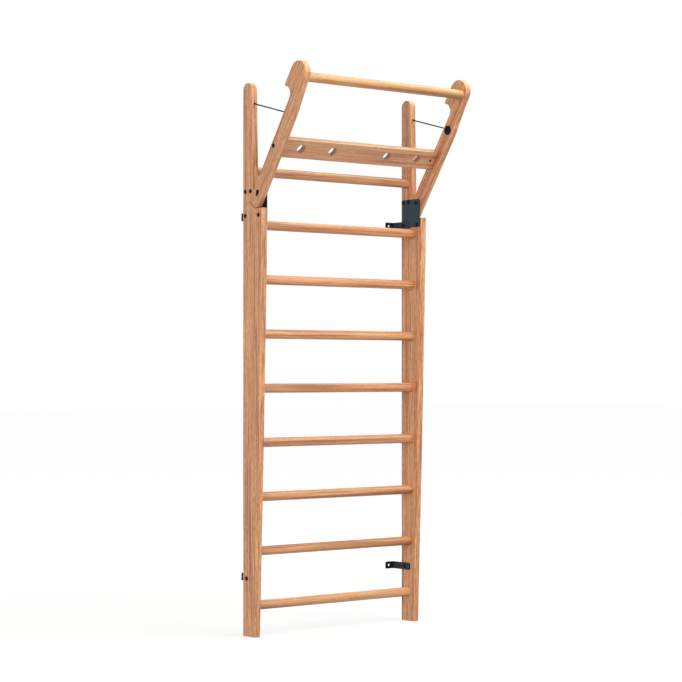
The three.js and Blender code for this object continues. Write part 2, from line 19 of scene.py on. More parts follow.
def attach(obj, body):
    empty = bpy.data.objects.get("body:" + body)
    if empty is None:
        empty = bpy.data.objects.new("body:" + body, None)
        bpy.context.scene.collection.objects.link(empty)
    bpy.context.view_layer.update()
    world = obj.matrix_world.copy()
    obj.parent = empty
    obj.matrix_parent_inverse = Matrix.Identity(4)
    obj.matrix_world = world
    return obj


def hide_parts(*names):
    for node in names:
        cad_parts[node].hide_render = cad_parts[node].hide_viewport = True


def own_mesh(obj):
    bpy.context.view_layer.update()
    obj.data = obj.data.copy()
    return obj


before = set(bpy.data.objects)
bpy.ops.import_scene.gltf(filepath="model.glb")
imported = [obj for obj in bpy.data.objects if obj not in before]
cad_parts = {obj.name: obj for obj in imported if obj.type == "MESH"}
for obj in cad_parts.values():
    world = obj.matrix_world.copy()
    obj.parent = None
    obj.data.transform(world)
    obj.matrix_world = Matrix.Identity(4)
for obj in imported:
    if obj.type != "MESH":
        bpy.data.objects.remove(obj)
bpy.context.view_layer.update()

logger = logging.getLogger("wall_bars")

MM = 0.001
QUARTER = math.pi / 2
ORIGIN = (0.0, 0.0, 0.0)
# Face attribute that says how much painted shade a face of wood gets, standing for the shade in the pocket,
# the slot and the finger holes.
RECESS_SHADE_LAYER = "painted_recess_shade"
MERGE_DISTANCE = 1e-6

BMesh = bmesh.types.BMesh
BMFace = bmesh.types.BMFace
BMVert = bmesh.types.BMVert
Colour = tuple[float, float, float]
Band = tuple[float, float]
Profile = Sequence[tuple[float, float]]
Number = Union["Signal", float]
Sockets = Mapping[str | int, Any]


class Side(Enum):
    """The two halves of the wall bars, with the way out along X."""

    LEFT = -1
    RIGHT = 1

    def named(self, piece: str) -> str:
        """The name of this half's piece."""
        return f"{self.name.lower()}_{piece}"


class Body(Enum):
    """What moves together."""

    WALL_FRAME = "wall frame"
    BUSHES = "pivot bushes"
    PULL_UP_FRAME = "pull-up frame"


class Slot(Enum):
    """The record's finishes."""

    WOOD = "wood"
    COATED_STEEL = "coated_steel"
    BLACK_STEEL = "black_steel"
    BLACK_PLASTIC = "black_plastic"
    CABLE = "cable"
    BUSH = "bush"


# Shared sizes and places


@dataclass(frozen=True)
class Layout:
    """Sizes that several sub-assemblies share, and the places that follow from them.

    Depths run forward from the posts' rear faces, heights up from the floor.
    Places on an arm are given across it, to its front, and along it from the pivot.
    """

    clear_width: float = 754 * MM
    wood_thickness: float = 26 * MM
    wood_edge: float = 2 * MM
    wall_gap: float = 50 * MM
    fit_gap: float = 0.3 * MM
    socket_depth: float = 18 * MM
    dowel_ease: float = 1.5 * MM
    lowest_rung: float = 116.5 * MM
    rung_pitch: float = 202 * MM
    lower_rungs: int = 8
    shoulder_above_rung: float = 61.2 * MM
    shoulder_depth: float = 119.5 * MM
    top_above_shoulder: float = 468.8 * MM
    top_depth: float = 54 * MM
    arm_width: float = 52 * MM
    arm_setback: float = 2.5 * MM
    arm_tail: float = 53 * MM
    arm_end_slant: float = math.radians(7)
    arm_heel_radius: float = 3 * MM
    arm_toe_radius: float = 10 * MM
    toe_dip: float = 1.9 * MM
    open_lean: float = math.radians(34.2)
    pocket_gap: float = 0.5 * MM
    notch_gap: float = 2.2 * MM
    hook_clearance: float = 0.7 * MM
    lift_travel: float = 7.5 * MM
    slot_spare: float = 3.5 * MM
    sweep_steps: int = 60
    bush_diameter: float = 12 * MM
    cable_below_top: float = 79.5 * MM
    cable_reach: float = 325.6 * MM
    cable_rise: float = 3 * MM

    @property
    def shoulder_height(self) -> float:
        """Height of the posts' shoulders, over the highest of the lower rungs."""
        return self.lowest_rung + self.rung_pitch * (self.lower_rungs - 1) + self.shoulder_above_rung

    @property
    def post_height(self) -> float:
        """Height of the posts' round tops."""
        return self.shoulder_height + self.top_above_shoulder

    @property
    def heel_centre(self) -> Vector:
        """Centre of the rounded rear corner of the arm's lower end."""
        tangent = self.arm_heel_radius / math.tan((QUARTER + self.arm_end_slant) / 2)
        return Vector((self.arm_heel_radius - self.arm_width / 2, tangent - self.arm_tail))

    @property
    def toe_centre(self) -> Vector:
        """Centre of the rounded front corner of the arm's lower end."""
        corner = -self.arm_tail - self.arm_width * math.tan(self.arm_end_slant)
        tangent = self.arm_toe_radius / math.tan((QUARTER - self.arm_end_slant) / 2)
        return Vector((self.arm_width / 2 - self.arm_toe_radius, corner + tangent))

    @property
    def pivot(self) -> Vector:
        """Depth and height of the pull-up frame's pivot."""
        toe_reach = self.toe_centre.length + self.arm_toe_radius
        depth = self.shoulder_depth - self.arm_setback - self.arm_width / 2
        return Vector((depth, self.shoulder_height + toe_reach + self.pocket_gap - self.toe_dip))

    @property
    def top_centre(self) -> Vector:
        """Depth and height of the centre of a post's round top."""
        radius = self.top_depth / 2
        return Vector((radius, self.post_height - radius))

    @property
    def notch_radius(self) -> float:
        """Radius of the arm's notch, which wraps the post's round top."""
        return self.top_depth / 2 + self.notch_gap

    @property
    def notch_setback(self) -> float:
        """Distance of the notch's centre behind the arm's centre line."""
        return self.arm_width / 2 + self.notch_radius

    @property
    def top_reach(self) -> float:
        """Distance from the pivot to the post's round top, along the folded arm."""
        return math.sqrt((self.top_centre - self.pivot).length_squared - self.notch_setback**2)

    @property
    def notch_reach(self) -> float:
        """Distance of the notch's centre from the pivot, along the arm of a frame that isn't lifted."""
        return self.top_reach - self.lift_travel + self.hook_clearance

    @property
    def folded_lean(self) -> float:
        """Lean of the arm when its notch wraps the post's top."""
        way = self.top_centre - self.pivot
        return math.atan2(way.x, way.y) + math.asin(self.notch_setback / way.length)

    @property
    def heel_reach(self) -> float:
        """Farthest that the heel sweeps from the pivot, square to the arm's slanted end."""
        out = Vector((-math.sin(self.arm_end_slant), -math.cos(self.arm_end_slant)))
        shares = [step / self.sweep_steps for step in range(self.sweep_steps + 1)]
        reaches = [self._after_fold(self.heel_centre, share).dot(out) for share in shares]
        return max(reaches) + self.arm_heel_radius

    def _after_fold(self, point: Vector, share: float) -> Vector:
        """A point of the open arm's frame, after a share of the fold and of the lift that goes with it."""
        turn = (self.open_lean - self.folded_lean) * share
        return Matrix.Rotation(turn, 2) @ (point + Vector((0.0, self.lift_travel * share)))

    def on_arm(self, across: float, along: float, lean: float | None = None) -> Vector:
        """A place on an arm as depth and height.

        Args:
            across: Distance to the front of the arm's centre line.
            along: Distance from the pivot, up the arm.
            lean: The arm's lean, or None for the open frame.

        Returns:
            The depth and height.
        """
        angle = self.open_lean if lean is None else lean
        forward = across * math.cos(angle) + along * math.sin(angle)
        up = along * math.cos(angle) - across * math.sin(angle)
        return self.pivot + Vector((forward, up))

    def neck_depth(self, height: float) -> float:
        """Depth of a post's neck at a height above the shoulder.

        Args:
            height: Height above the floor.

        Returns:
            The depth of the neck's front edge.
        """
        across = -self.arm_width / 2 - self.notch_gap
        low = self.on_arm(across, 0.0, self.folded_lean)
        high = self.on_arm(across, self.top_reach, self.folded_lean)
        share = (height - low.y) / (high.y - low.y)
        return low.x + share * (high.x - low.x)

    @property
    def cable_ends(self) -> tuple[Vector, Vector]:
        """Depth and height where a cable leaves the post's neck, and of its end in the arm."""
        height = self.post_height - self.cable_below_top
        start = Vector((self.neck_depth(height), height))
        return start, self.on_arm(0.0, self.cable_reach + self.cable_rise)

    @property
    def cable_span(self) -> float:
        """Distance from the post's neck to the cable's end in the arm."""
        start, end = self.cable_ends
        return (end - start).length

    def side_frame(self, side: Side, at: Sequence[float] = ORIGIN) -> Matrix:
        """The matrix from depth, height and distance out of a post's inner face to the shared frame.

        Args:
            side: The half of the wall bars.
            at: Where the piece's own origin lies there.

        Returns:
            The matrix, which mirrors on the right.
        """
        out = side.value
        rows = (
            (0.0, 0.0, out, out * self.clear_width / 2),
            (-1.0, 0.0, 0.0, -self.wall_gap),
            (0.0, 1.0, 0.0, 0.0),
            (0.0, 0.0, 0.0, 1.0),
        )
        return Matrix(rows) @ Matrix.Translation(at)

    def arm_frame(self, side: Side, at: Sequence[float] = ORIGIN) -> Matrix:
        """The matrix to the shared frame from a place across, along and out of an open arm."""
        lean = Matrix.Rotation(-self.open_lean, 4, "Z")
        return self.side_frame(side, (*self.pivot, 0.0)) @ lean @ Matrix.Translation(at)

    def cable_frame(self, side: Side) -> Matrix:
        """The matrix from a stay cable's own axis Z, zero where it leaves the post, to the shared frame.

        Args:
            side: The half of the wall bars.

        Returns:
            The matrix, which mirrors on the right.
        """
        start, end = self.cable_ends
        turn = (end - start).to_3d().to_track_quat("Z", "Y").to_matrix().to_4x4()
        return self.side_frame(side, (*start, self.wood_thickness / 2)) @ turn

    def middle_frame(self, at: Vector, turn: float, axis: str) -> Matrix:
        """The matrix to the shared frame from mid width, at a depth and height, turned about an axis."""
        return Matrix.Translation((0.0, -self.wall_gap - at.x, at.y)) @ Matrix.Rotation(turn, 4, axis)


# Shader expressions


class Signal:
    """A node's output, with the arithmetic that shader expressions use."""

    def __init__(self, shader: Shader, socket: bpy.types.NodeSocket) -> None:
        """Wraps an output socket of a shader's node."""
        self.shader = shader
        self.socket = socket

    def _math(self, operation: str, first: Number, second: Number = 0.0) -> Signal:
        """Adds a Math node on two values."""
        return self.shader.add("ShaderNodeMath", {"operation": operation}, {0: first, 1: second})

    def __add__(self, other: Number) -> Signal:
        """Self plus other."""
        return self._math("ADD", self, other)

    def __sub__(self, other: Number) -> Signal:
        """Self minus other."""
        return self._math("SUBTRACT", self, other)

    def __rsub__(self, other: Number) -> Signal:
        """Other minus self."""
        return self._math("SUBTRACT", other, self)

    def __mul__(self, other: Number) -> Signal:
        """Self times other."""
        return self._math("MULTIPLY", self, other)

    __radd__ = __add__
    __rmul__ = __mul__

    def __abs__(self) -> Signal:
        """Self without its sign."""
        return self._math("ABSOLUTE", self)

    def greater(self, other: Number) -> Signal:
        """The larger of self and other."""
        return self._math("MAXIMUM", self, other)

    def sine(self) -> Signal:
        """The sine of self as an angle."""
        return self._math("SINE", self)

    def ramp(self, low: float, high: float) -> Signal:
        """Self as a smooth rise from 0 at the low value to 1 at the high one."""
        sockets = {"Value": self, "From Min": low, "From Max": high}
        return self.shader.add("ShaderNodeMapRange", {"interpolation_type": "SMOOTHSTEP"}, sockets)

    def axis(self, name: str) -> Signal:
        """One axis of a vector."""
        return self.shader.add("ShaderNodeSeparateXYZ", sockets={0: self}, output=name)


class Shader:
    """The nodes of a material or of the world, written as expressions."""

    def __init__(self, owner: bpy.types.Material | bpy.types.World) -> None:
        """Clears the owner's nodes and starts on them.

        Args:
            owner: The material or world.
        """
        self.owner = owner
        owner.use_nodes = True
        self.tree = owner.node_tree
        self.tree.nodes.clear()

    def add(
        self,
        kind: str,
        settings: Mapping[str, Any] | None = None,
        sockets: Sockets | None = None,
        output: str | int = 0,
    ) -> Signal:
        """Adds a node.

        Args:
            kind: The node's type.
            settings: The node's own settings, which are set first. A ramp's stops go under "stops".
            sockets: Values or signals for the node's inputs.
            output: The output to hand back.

        Returns:
            The node's output as a signal.
        """
        node = self.tree.nodes.new(kind)
        for name, value in (settings or {}).items():
            if name == "stops":
                self._set_stops(node.color_ramp, value)
            else:
                setattr(node, name, value)
        for name, value in (sockets or {}).items():
            if isinstance(value, Signal):
                self.tree.links.new(value.socket, node.inputs[name])
            else:
                node.inputs[name].default_value = value
        return Signal(self, node.outputs[output])

    @staticmethod
    def _set_stops(ramp: bpy.types.ColorRamp, stops: Sequence[tuple[float, Colour]]) -> None:
        """Sets a colour ramp's stops.

        Args:
            ramp: The node's ramp.
            stops: Places from 0 to 1 with their colours.
        """
        while len(ramp.elements) < len(stops):
            ramp.elements.new(0.5)
        for element, (place, colour) in zip(ramp.elements, stops):
            element.position = place
            element.color = (*colour, 1.0)

    def point(self, rotation: Sequence[float] = ORIGIN, kind: str = "Object") -> Signal:
        """The surface's own coordinates of a kind, Object or Normal, turned by Euler angles."""
        sockets = {"Vector": self.add("ShaderNodeTexCoord", output=kind), "Rotation": rotation}
        return self.add("ShaderNodeMapping", {"vector_type": "POINT"}, sockets)

    def noise(self, point: Signal, scale: Sequence[float], detail: float, roughness: float = 0.5) -> Signal:
        """Noise at its own scale along each axis.

        Args:
            point: The coordinates.
            scale: Noise cells per metre along each axis.
            detail: Octaves of finer noise.
            roughness: Strength of the finer noise.

        Returns:
            The noise, from 0 to 1 round one half.
        """
        stretched = self.add("ShaderNodeVectorMath", {"operation": "MULTIPLY"}, {0: point, 1: scale})
        sockets = {"Vector": stretched, "Scale": 1.0, "Detail": detail, "Roughness": roughness}
        return self.add("ShaderNodeTexNoise", {"noise_dimensions": "3D"}, sockets)

    def stops(self, value: Signal, stops: Sequence[tuple[float, Colour]]) -> Signal:
        """A colour ramp over a value."""
        return self.add("ShaderNodeValToRGB", {"stops": stops}, {"Fac": value})

    def mix(self, factor: Number, first: Signal, second: Colour, blend: str = "MIX") -> Signal:
        """A plain colour laid on another, by a share and a way to blend."""
        settings = {"data_type": "RGBA", "blend_type": blend, "clamp_factor": True}
        return self.add("ShaderNodeMix", settings, {0: factor, 6: first, 7: (*second, 1.0)}, output=2)

    def bump(self, height: Signal, strength: float, distance: float) -> Signal:
        """A normal that follows a height."""
        sockets = {"Strength": strength, "Distance": distance, "Height": height}
        return self.add("ShaderNodeBump", sockets=sockets)

    def surface(self, sockets: Sockets) -> bpy.types.Material:
        """Ends a material in a Principled surface with the given values or signals, and hands it back."""
        self.add_output("ShaderNodeOutputMaterial", self.add("ShaderNodeBsdfPrincipled", sockets=sockets))
        return self.owner

    def add_output(self, kind: str, surface: Signal) -> None:
        """Adds the output node that a surface or background ends in."""
        node = self.tree.nodes.new(kind)
        self.tree.links.new(surface.socket, node.inputs["Surface"])


# Finishes


@dataclass(frozen=True)
class Finish:
    """A material and the record's slot that it stands for."""

    slot: Slot
    material: bpy.types.Material
    smooth_angle: float = math.radians(32)

    def dress(self, mesh: BMesh, body: Body, node: str, place: Matrix) -> bpy.types.Object:
        """Makes the finished piece that stands for a node.

        Args:
            mesh: The piece's mesh in its own frame, which is freed.
            body: The body that carries the piece.
            node: The node's name.
            place: The matrix from the piece's frame to the shared frame.

        Returns:
            The piece.
        """
        bmesh.ops.transform(mesh, matrix=place, verts=mesh.verts[:])
        if place.determinant() < 0:
            bmesh.ops.reverse_faces(mesh, faces=mesh.faces[:])
        name = f"{node}_finished"
        data = bpy.data.meshes.new(name)
        mesh.to_mesh(data)
        mesh.free()
        data.materials.append(self.material)
        data.shade_smooth()
        data.set_sharp_from_angle(angle=self.smooth_angle)
        piece = bpy.data.objects.new(name, data)
        bpy.context.scene.collection.objects.link(piece)
        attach(piece, body.value)
        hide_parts(node)
        logger.info("%s: %d faces on %s", name, len(data.polygons), body.value)
        return piece


class Grain(Enum):
    """Way that the wood's grain runs, as the angles that turn it upright."""

    UPRIGHT = (0.0, 0.0, 0.0)
    CROSSWISE = (0.0, -QUARTER, 0.0)
    LEANING = (-Layout().open_lean, 0.0, 0.0)


@dataclass(frozen=True)
class Wood:
    """Oiled reddish hardwood with long straight grain and short dark pores, and painted shade on the faces
    marked as lying in a recess.

    A scale gives noise cells per metre across and along the grain. A band gives the noise at which a mark
    starts to show and at which it shows in full, and a share says how strongly it then shows.
    """

    pale: Colour = (0.95, 0.505, 0.245)
    middle: Colour = (0.78, 0.358, 0.160)
    dark: Colour = (0.37, 0.140, 0.057)
    pore: Colour = (0.22, 0.080, 0.036)
    yellow: Colour = (0.86, 0.415, 0.168)
    ruddy: Colour = (1.0, 0.86, 0.80)
    end: Colour = (0.84, 0.450, 0.190)
    # Painted shade colour for the faces marked as lying in a recess.
    joint: Colour = (0.06, 0.024, 0.012)
    growth_scale: Sequence[float] = (105.0, 105.0, 1.8)
    streak_scale: Sequence[float] = (250.0, 250.0, 5.0)
    fibre_scale: Sequence[float] = (380.0, 380.0, 48.0)
    pore_scale: Sequence[float] = (1500.0, 1500.0, 45.0)
    tone_scale: Sequence[float] = (55.0, 55.0, 1.2)
    ring_places: Sequence[float] = (0.36, 0.46, 0.58, 0.72)
    streak_band: Band = (0.48, 0.62)
    yellow_band: Band = (0.52, 0.32)
    ruddy_band: Band = (0.48, 0.64)
    dark_fleck_band: Band = (0.50, 0.66)
    pale_fleck_band: Band = (0.46, 0.30)
    pore_band: Band = (0.60, 0.70)
    end_band: Band = (0.40, 0.80)
    streak_share: float = 0.85
    yellow_share: float = 0.42
    fleck_share: float = 0.58
    pore_share: float = 0.45
    end_share: float = 0.7
    recess_shade_share: float = 0.9

    def finish(self, name: str, grain: Grain) -> Finish:
        """The wood with its grain along a given way.

        Args:
            name: The material's name.
            grain: The way that the grain runs.

        Returns:
            The finish.
        """
        shader = Shader(bpy.data.materials.new(name))
        point = shader.point(grain.value)
        growth = shader.noise(point, self.growth_scale, detail=3.0, roughness=0.55)
        streak = shader.noise(point, self.streak_scale, detail=2.0)
        fibre = shader.noise(point, self.fibre_scale, detail=2.0, roughness=0.6)
        pores = shader.noise(point, self.pore_scale, detail=2.0).ramp(*self.pore_band)
        tone = shader.noise(point, self.tone_scale, detail=1.0)
        along = abs(shader.point(grain.value, "Normal").axis("Z"))
        joint = shader.add("ShaderNodeAttribute", {"attribute_name": RECESS_SHADE_LAYER}, output="Fac")

        rings = (self.dark, self.middle, self.pale, self.middle)
        colour = shader.stops(growth, list(zip(self.ring_places, rings)))
        colour = shader.mix(streak.ramp(*self.streak_band) * self.streak_share, colour, self.dark)
        colour = shader.mix(tone.ramp(*self.yellow_band) * self.yellow_share, colour, self.yellow)
        colour = shader.mix(tone.ramp(*self.ruddy_band), colour, self.ruddy, "MULTIPLY")
        colour = shader.mix(fibre.ramp(*self.dark_fleck_band) * self.fleck_share, colour, self.dark)
        colour = shader.mix(fibre.ramp(*self.pale_fleck_band) * self.fleck_share, colour, self.pale)
        colour = shader.mix(pores * self.pore_share, colour, self.pore)
        colour = shader.mix(along.ramp(*self.end_band) * self.end_share, colour, self.end)
        # Painted shade: the marked faces in recesses are darkened towards near black.
        colour = shader.mix(joint * self.recess_shade_share, colour, self.joint)

        height = growth * 0.5 + streak * 0.3 - pores * 0.6
        sockets = {
            "Base Color": colour,
            "Roughness": 0.40 + growth * 0.14 + pores * 0.15,
            "Normal": shader.bump(height, strength=0.22, distance=0.4 * MM),
            "Specular IOR Level": 0.45,
            "Coat Weight": 0.35,
            "Coat Roughness": 0.26,
        }
        return Finish(Slot.WOOD, shader.surface(sockets))


@dataclass(frozen=True)
class PowderCoat:
    """Dark blue-grey powder coat on steel, finely pebbled, with painted light: the faces that look inward
    are painted lighter, as lit.
    """

    colour: Colour = (0.006, 0.008, 0.010)
    dusty: Colour = (0.012, 0.015, 0.018)
    painted_lit_colour: Colour = (0.044, 0.063, 0.090)
    painted_light_share: float = 0.75
    inward_band: Band = (0.30, 0.36)
    pebble_scale: float = 1600.0
    dust_scale: float = 26.0

    def finish(self, name: str) -> Finish:
        """The powder coat.

        Args:
            name: The material's name.

        Returns:
            The finish.
        """
        shader = Shader(bpy.data.materials.new(name))
        point = shader.point()
        pebble = shader.noise(point, (self.pebble_scale,) * 3, detail=2.0)
        dust = shader.noise(point, (self.dust_scale,) * 3, detail=5.0, roughness=0.65)
        # Painted light: faces that look in towards the middle of the wall bars get the lighter colour.
        inward = point.axis("X") * shader.point(kind="Normal").axis("X") * -1.0
        base = shader.stops(dust, [(0.40, self.colour), (0.72, self.dusty)])
        sockets = {
            "Base Color": shader.mix(inward.ramp(*self.inward_band) * self.painted_light_share, base, self.painted_lit_colour),
            "Roughness": 0.44 + dust * 0.16 + pebble * 0.08,
            "Normal": shader.bump(pebble, strength=0.25, distance=0.15 * MM),
            "Specular IOR Level": 0.12,
        }
        return Finish(Slot.COATED_STEEL, shader.surface(sockets))


@dataclass(frozen=True)
class BlackSteel:
    """Blackened steel, brightened a little where tools and hands rub it."""

    colour: Colour = (0.0030, 0.0030, 0.0032)
    rubbed: Colour = (0.0070, 0.0068, 0.0066)
    rub_scale: float = 240.0

    def finish(self, name: str) -> Finish:
        """The blackened steel.

        Args:
            name: The material's name.

        Returns:
            The finish.
        """
        shader = Shader(bpy.data.materials.new(name))
        rub = shader.noise(shader.point(), (self.rub_scale,) * 3, detail=4.0, roughness=0.6)
        sockets = {
            "Base Color": shader.stops(rub, [(0.48, self.colour), (0.75, self.rubbed)]),
            "Roughness": 0.50 - rub * 0.14,
            "Normal": shader.bump(rub, strength=0.12, distance=0.1 * MM),
            "Specular IOR Level": 0.10,
        }
        return Finish(Slot.BLACK_STEEL, shader.surface(sockets))


@dataclass(frozen=True)
class BlackPlastic:
    """Matte black plastic with a fine spark texture."""

    slot: Slot = Slot.BLACK_PLASTIC
    colour: Colour = (0.0035, 0.0035, 0.0036)
    worn: Colour = (0.0080, 0.0080, 0.0082)
    spark_scale: float = 2200.0
    wear_scale: float = 90.0

    def finish(self, name: str) -> Finish:
        """The plastic.

        Args:
            name: The material's name.

        Returns:
            The finish.
        """
        shader = Shader(bpy.data.materials.new(name))
        point = shader.point()
        spark = shader.noise(point, (self.spark_scale,) * 3, detail=1.0)
        wear = shader.noise(point, (self.wear_scale,) * 3, detail=4.0)
        sockets = {
            "Base Color": shader.stops(wear, [(0.45, self.colour), (0.72, self.worn)]),
            "Roughness": 0.52 + spark * 0.12,
            "Normal": shader.bump(spark, strength=0.2, distance=0.1 * MM),
            "Specular IOR Level": 0.10,
        }
        return Finish(self.slot, shader.surface(sockets))


@dataclass(frozen=True)
class CableSheath:
    """Black sheath drawn tight over a laid steel cable, whose strands show through."""

    colour: Colour = (0.0030, 0.0030, 0.0032)
    raised: Colour = (0.0090, 0.0090, 0.0092)
    lay_length: float = 22 * MM
    strands: int = 6

    def finish(self, name: str) -> Finish:
        """The sheath, on a UV map of turns round the cable and metres along it.

        Args:
            name: The material's name.

        Returns:
            The finish.
        """
        shader = Shader(bpy.data.materials.new(name))
        place = shader.add("ShaderNodeTexCoord", output="UV")
        phase = (place.axis("X") + place.axis("Y") * (1.0 / self.lay_length)) * (self.strands * 2 * math.pi)
        wave = phase.sine() * 0.5 + 0.5
        sockets = {
            "Base Color": shader.stops(wave, [(0.2, self.colour), (0.9, self.raised)]),
            "Roughness": 0.50 - wave * 0.08,
            "Normal": shader.bump(wave, strength=0.5, distance=0.25 * MM),
            "Specular IOR Level": 0.10,
        }
        return Finish(Slot.CABLE, shader.surface(sockets))


class Finishes:
    """The finishes that the pieces share."""

    def __init__(self) -> None:
        """Makes their materials."""
        sawn = Wood()
        turned = Wood(growth_scale=(85.0, 85.0, 1.2), streak_share=0.5, fleck_share=0.25)
        golden = replace(turned, yellow=(0.78, 0.430, 0.155))
        bar = replace(golden, pale=(0.85, 0.505, 0.215), middle=(0.69, 0.355, 0.140))
        planed = replace(golden, streak_share=0.4, fleck_share=0.4)
        # The board's wood is darker than the rungs': painted shade for its front, which faces forward and
        # down.
        board = replace(planed, pale=(0.76, 0.425, 0.235), middle=(0.62, 0.298, 0.154))
        self.upright_wood = sawn.finish("oiled_wood_upright", Grain.UPRIGHT)
        self.leaning_wood = sawn.finish("oiled_wood_leaning", Grain.LEANING)
        self.rung_wood = turned.finish("oiled_wood_crosswise", Grain.CROSSWISE)
        self.bar_wood = bar.finish("oiled_wood_bar", Grain.CROSSWISE)
        self.board_wood = board.finish("oiled_wood_board", Grain.CROSSWISE)
        # Painted light: the plate gets it in full on its inward faces, the brackets three quarters of it.
        self.plate_steel = PowderCoat(painted_light_share=1.0).finish("powder_coated_plate")
        self.bracket_steel = PowderCoat().finish("powder_coated_bracket")
        self.black_steel = BlackSteel().finish("blackened_steel")
        self.black_plastic = BlackPlastic().finish("black_moulded_plastic")
        self.cable = CableSheath().finish("black_cable_sheath")
        self.nylon = BlackPlastic(Slot.BUSH, spark_scale=900.0).finish("black_turned_nylon")


# Modelling


def only(items: Iterable[Any], kind: type) -> list[Any]:
    """The items of one kind."""
    return [item for item in items if isinstance(item, kind)]


class Outline:
    """A line drawn point by point in the flat, as a chain of edges that closes on its start."""

    def __init__(self, mesh: BMesh, x: float, y: float) -> None:
        """Starts at a point.

        Args:
            mesh: The mesh to draw in.
            x: The point's x.
            y: The point's y.
        """
        self.mesh = mesh
        self.first = mesh.verts.new((x, y, 0.0))
        self.last = self.first

    def line(self, x: float, y: float) -> Outline:
        """Draws straight to a point.

        Args:
            x: The point's x.
            y: The point's y.

        Returns:
            The outline.
        """
        corner = self.mesh.verts.new((x, y, 0.0))
        self.mesh.edges.new((self.last, corner))
        self.last = corner
        return self

    def ease(self, x: float, y: float, steps: int = 10) -> Outline:
        """Draws to a point along a curve that leaves and arrives along y.

        Args:
            x: The end's x.
            y: The end's y.
            steps: Edges along the curve.

        Returns:
            The outline.
        """
        start = self.last.co.copy()
        for step in range(1, steps + 1):
            share = step / steps
            eased = share * share * (3 - 2 * share)
            self.line(start.x + (x - start.x) * eased, start.y + (y - start.y) * share)
        return self

    def arc(self, x: float, y: float, turn: float, steps: int) -> Outline:
        """Turns the last point about a centre.

        Args:
            x: The centre's x.
            y: The centre's y.
            turn: The angle, counter-clockwise.
            steps: Edges along the arc.

        Returns:
            The outline.
        """
        swept = bmesh.ops.spin(
            self.mesh, geom=[self.last], cent=(x, y, 0.0), axis=(0.0, 0.0, 1.0), angle=turn, steps=steps
        )
        self.last = only(swept["geom_last"], BMVert)[0]
        return self

    def corner(
        self, x: float, y: float, radius: float, start: float, turn: float = QUARTER, steps: int = 8
    ) -> Outline:
        """Draws straight to a corner, at a start angle about the corner's centre, and then round it."""
        self.line(x + radius * math.cos(start), y + radius * math.sin(start))
        return self.arc(x, y, turn, steps)

    def close(self) -> None:
        """Draws back to the start."""
        self.mesh.edges.new((self.last, self.first))


def inset_faces(mesh: BMesh, faces: list[BMFace], inward: float, rise: float) -> None:
    """Draws a border inside a region of faces, which stays as what the border surrounds, and lifts it."""
    settings = {"use_boundary": True, "use_even_offset": True}
    bmesh.ops.inset_region(mesh, faces=faces, thickness=inward, depth=rise, **settings)


def raise_slab(mesh: BMesh, thickness: float, edge: float, steps: int = 3) -> None:
    """Fills the drawn outlines and raises them along z to a slab with rounded-over edges.

    Args:
        mesh: A mesh that holds closed outlines at z = 0, with any holes drawn inside.
        thickness: The slab's thickness.
        edge: The radius of the rounded edges.
        steps: Strips round each edge.
    """
    filled = bmesh.ops.triangle_fill(mesh, use_beauty=True, edges=mesh.edges[:], normal=(0.0, 0.0, 1.0))
    lower = only(filled["geom"], BMFace)
    bmesh.ops.translate(mesh, verts=mesh.verts[:], vec=(0.0, 0.0, edge))
    raised = bmesh.ops.extrude_face_region(mesh, geom=lower)["geom"]
    bmesh.ops.translate(mesh, verts=only(raised, BMVert), vec=(0.0, 0.0, thickness - 2 * edge))
    bmesh.ops.recalc_face_normals(mesh, faces=mesh.faces[:])
    flat_border = edge / 5
    for cap in (lower, only(raised, BMFace)):
        for step in range(steps):
            start = step / steps * QUARTER
            end = (step + 1) / steps * QUARTER
            inward = edge * (math.cos(start) - math.cos(end))
            inset_faces(mesh, cap, inward, edge * (math.sin(end) - math.sin(start)))
        inset_faces(mesh, cap, flat_border, 0.0)


def turn_profile(profile: Profile, steps: int = 48) -> BMesh:
    """Turns a profile about z.

    Args:
        profile: Radii and heights, from the lower end to the upper one.
        steps: Edges round the turn.

    Returns:
        The turned mesh, open where the profile stops short of the axis.
    """
    mesh = bmesh.new()
    points = [mesh.verts.new((radius, 0.0, height)) for radius, height in profile]
    edges = [mesh.edges.new(pair) for pair in zip(points, points[1:])]
    about_z = {"cent": ORIGIN, "axis": (0.0, 0.0, 1.0), "angle": 2 * math.pi}
    bmesh.ops.spin(mesh, geom=[*points, *edges], steps=steps, use_merge=True, **about_z)
    bmesh.ops.remove_doubles(mesh, verts=mesh.verts[:], dist=MERGE_DISTANCE)
    bmesh.ops.recalc_face_normals(mesh, faces=mesh.faces[:])
    return mesh


def eased_bar(outer: float, low: float, high: float, ease: float, steps: int, inner: float = 0.0) -> BMesh:
    """A round bar or tube along z with eased edges at its ends.

    Args:
        outer: Outer radius.
        low: Lower end.
        high: Upper end.
        ease: Size of the eased edges.
        steps: Edges round the bar.
        inner: Inner radius of a tube, or zero.

    Returns:
        The mesh.
    """
    profile = [(inner, low), (outer - ease, low), (outer, low + ease)]
    profile += [(outer, high - ease), (outer - ease, high), (inner, high)]
    if inner > 0:
        profile.append((inner, low))
    return turn_profile(profile, steps)


def dowel(layout: Layout, diameter: float) -> BMesh:
    """A round bar along z about its middle, which reaches into the sockets at both sides."""
    reach = layout.clear_width / 2 + layout.socket_depth - layout.fit_gap
    return eased_bar(diameter / 2, -reach, reach, layout.dowel_ease, steps=56)


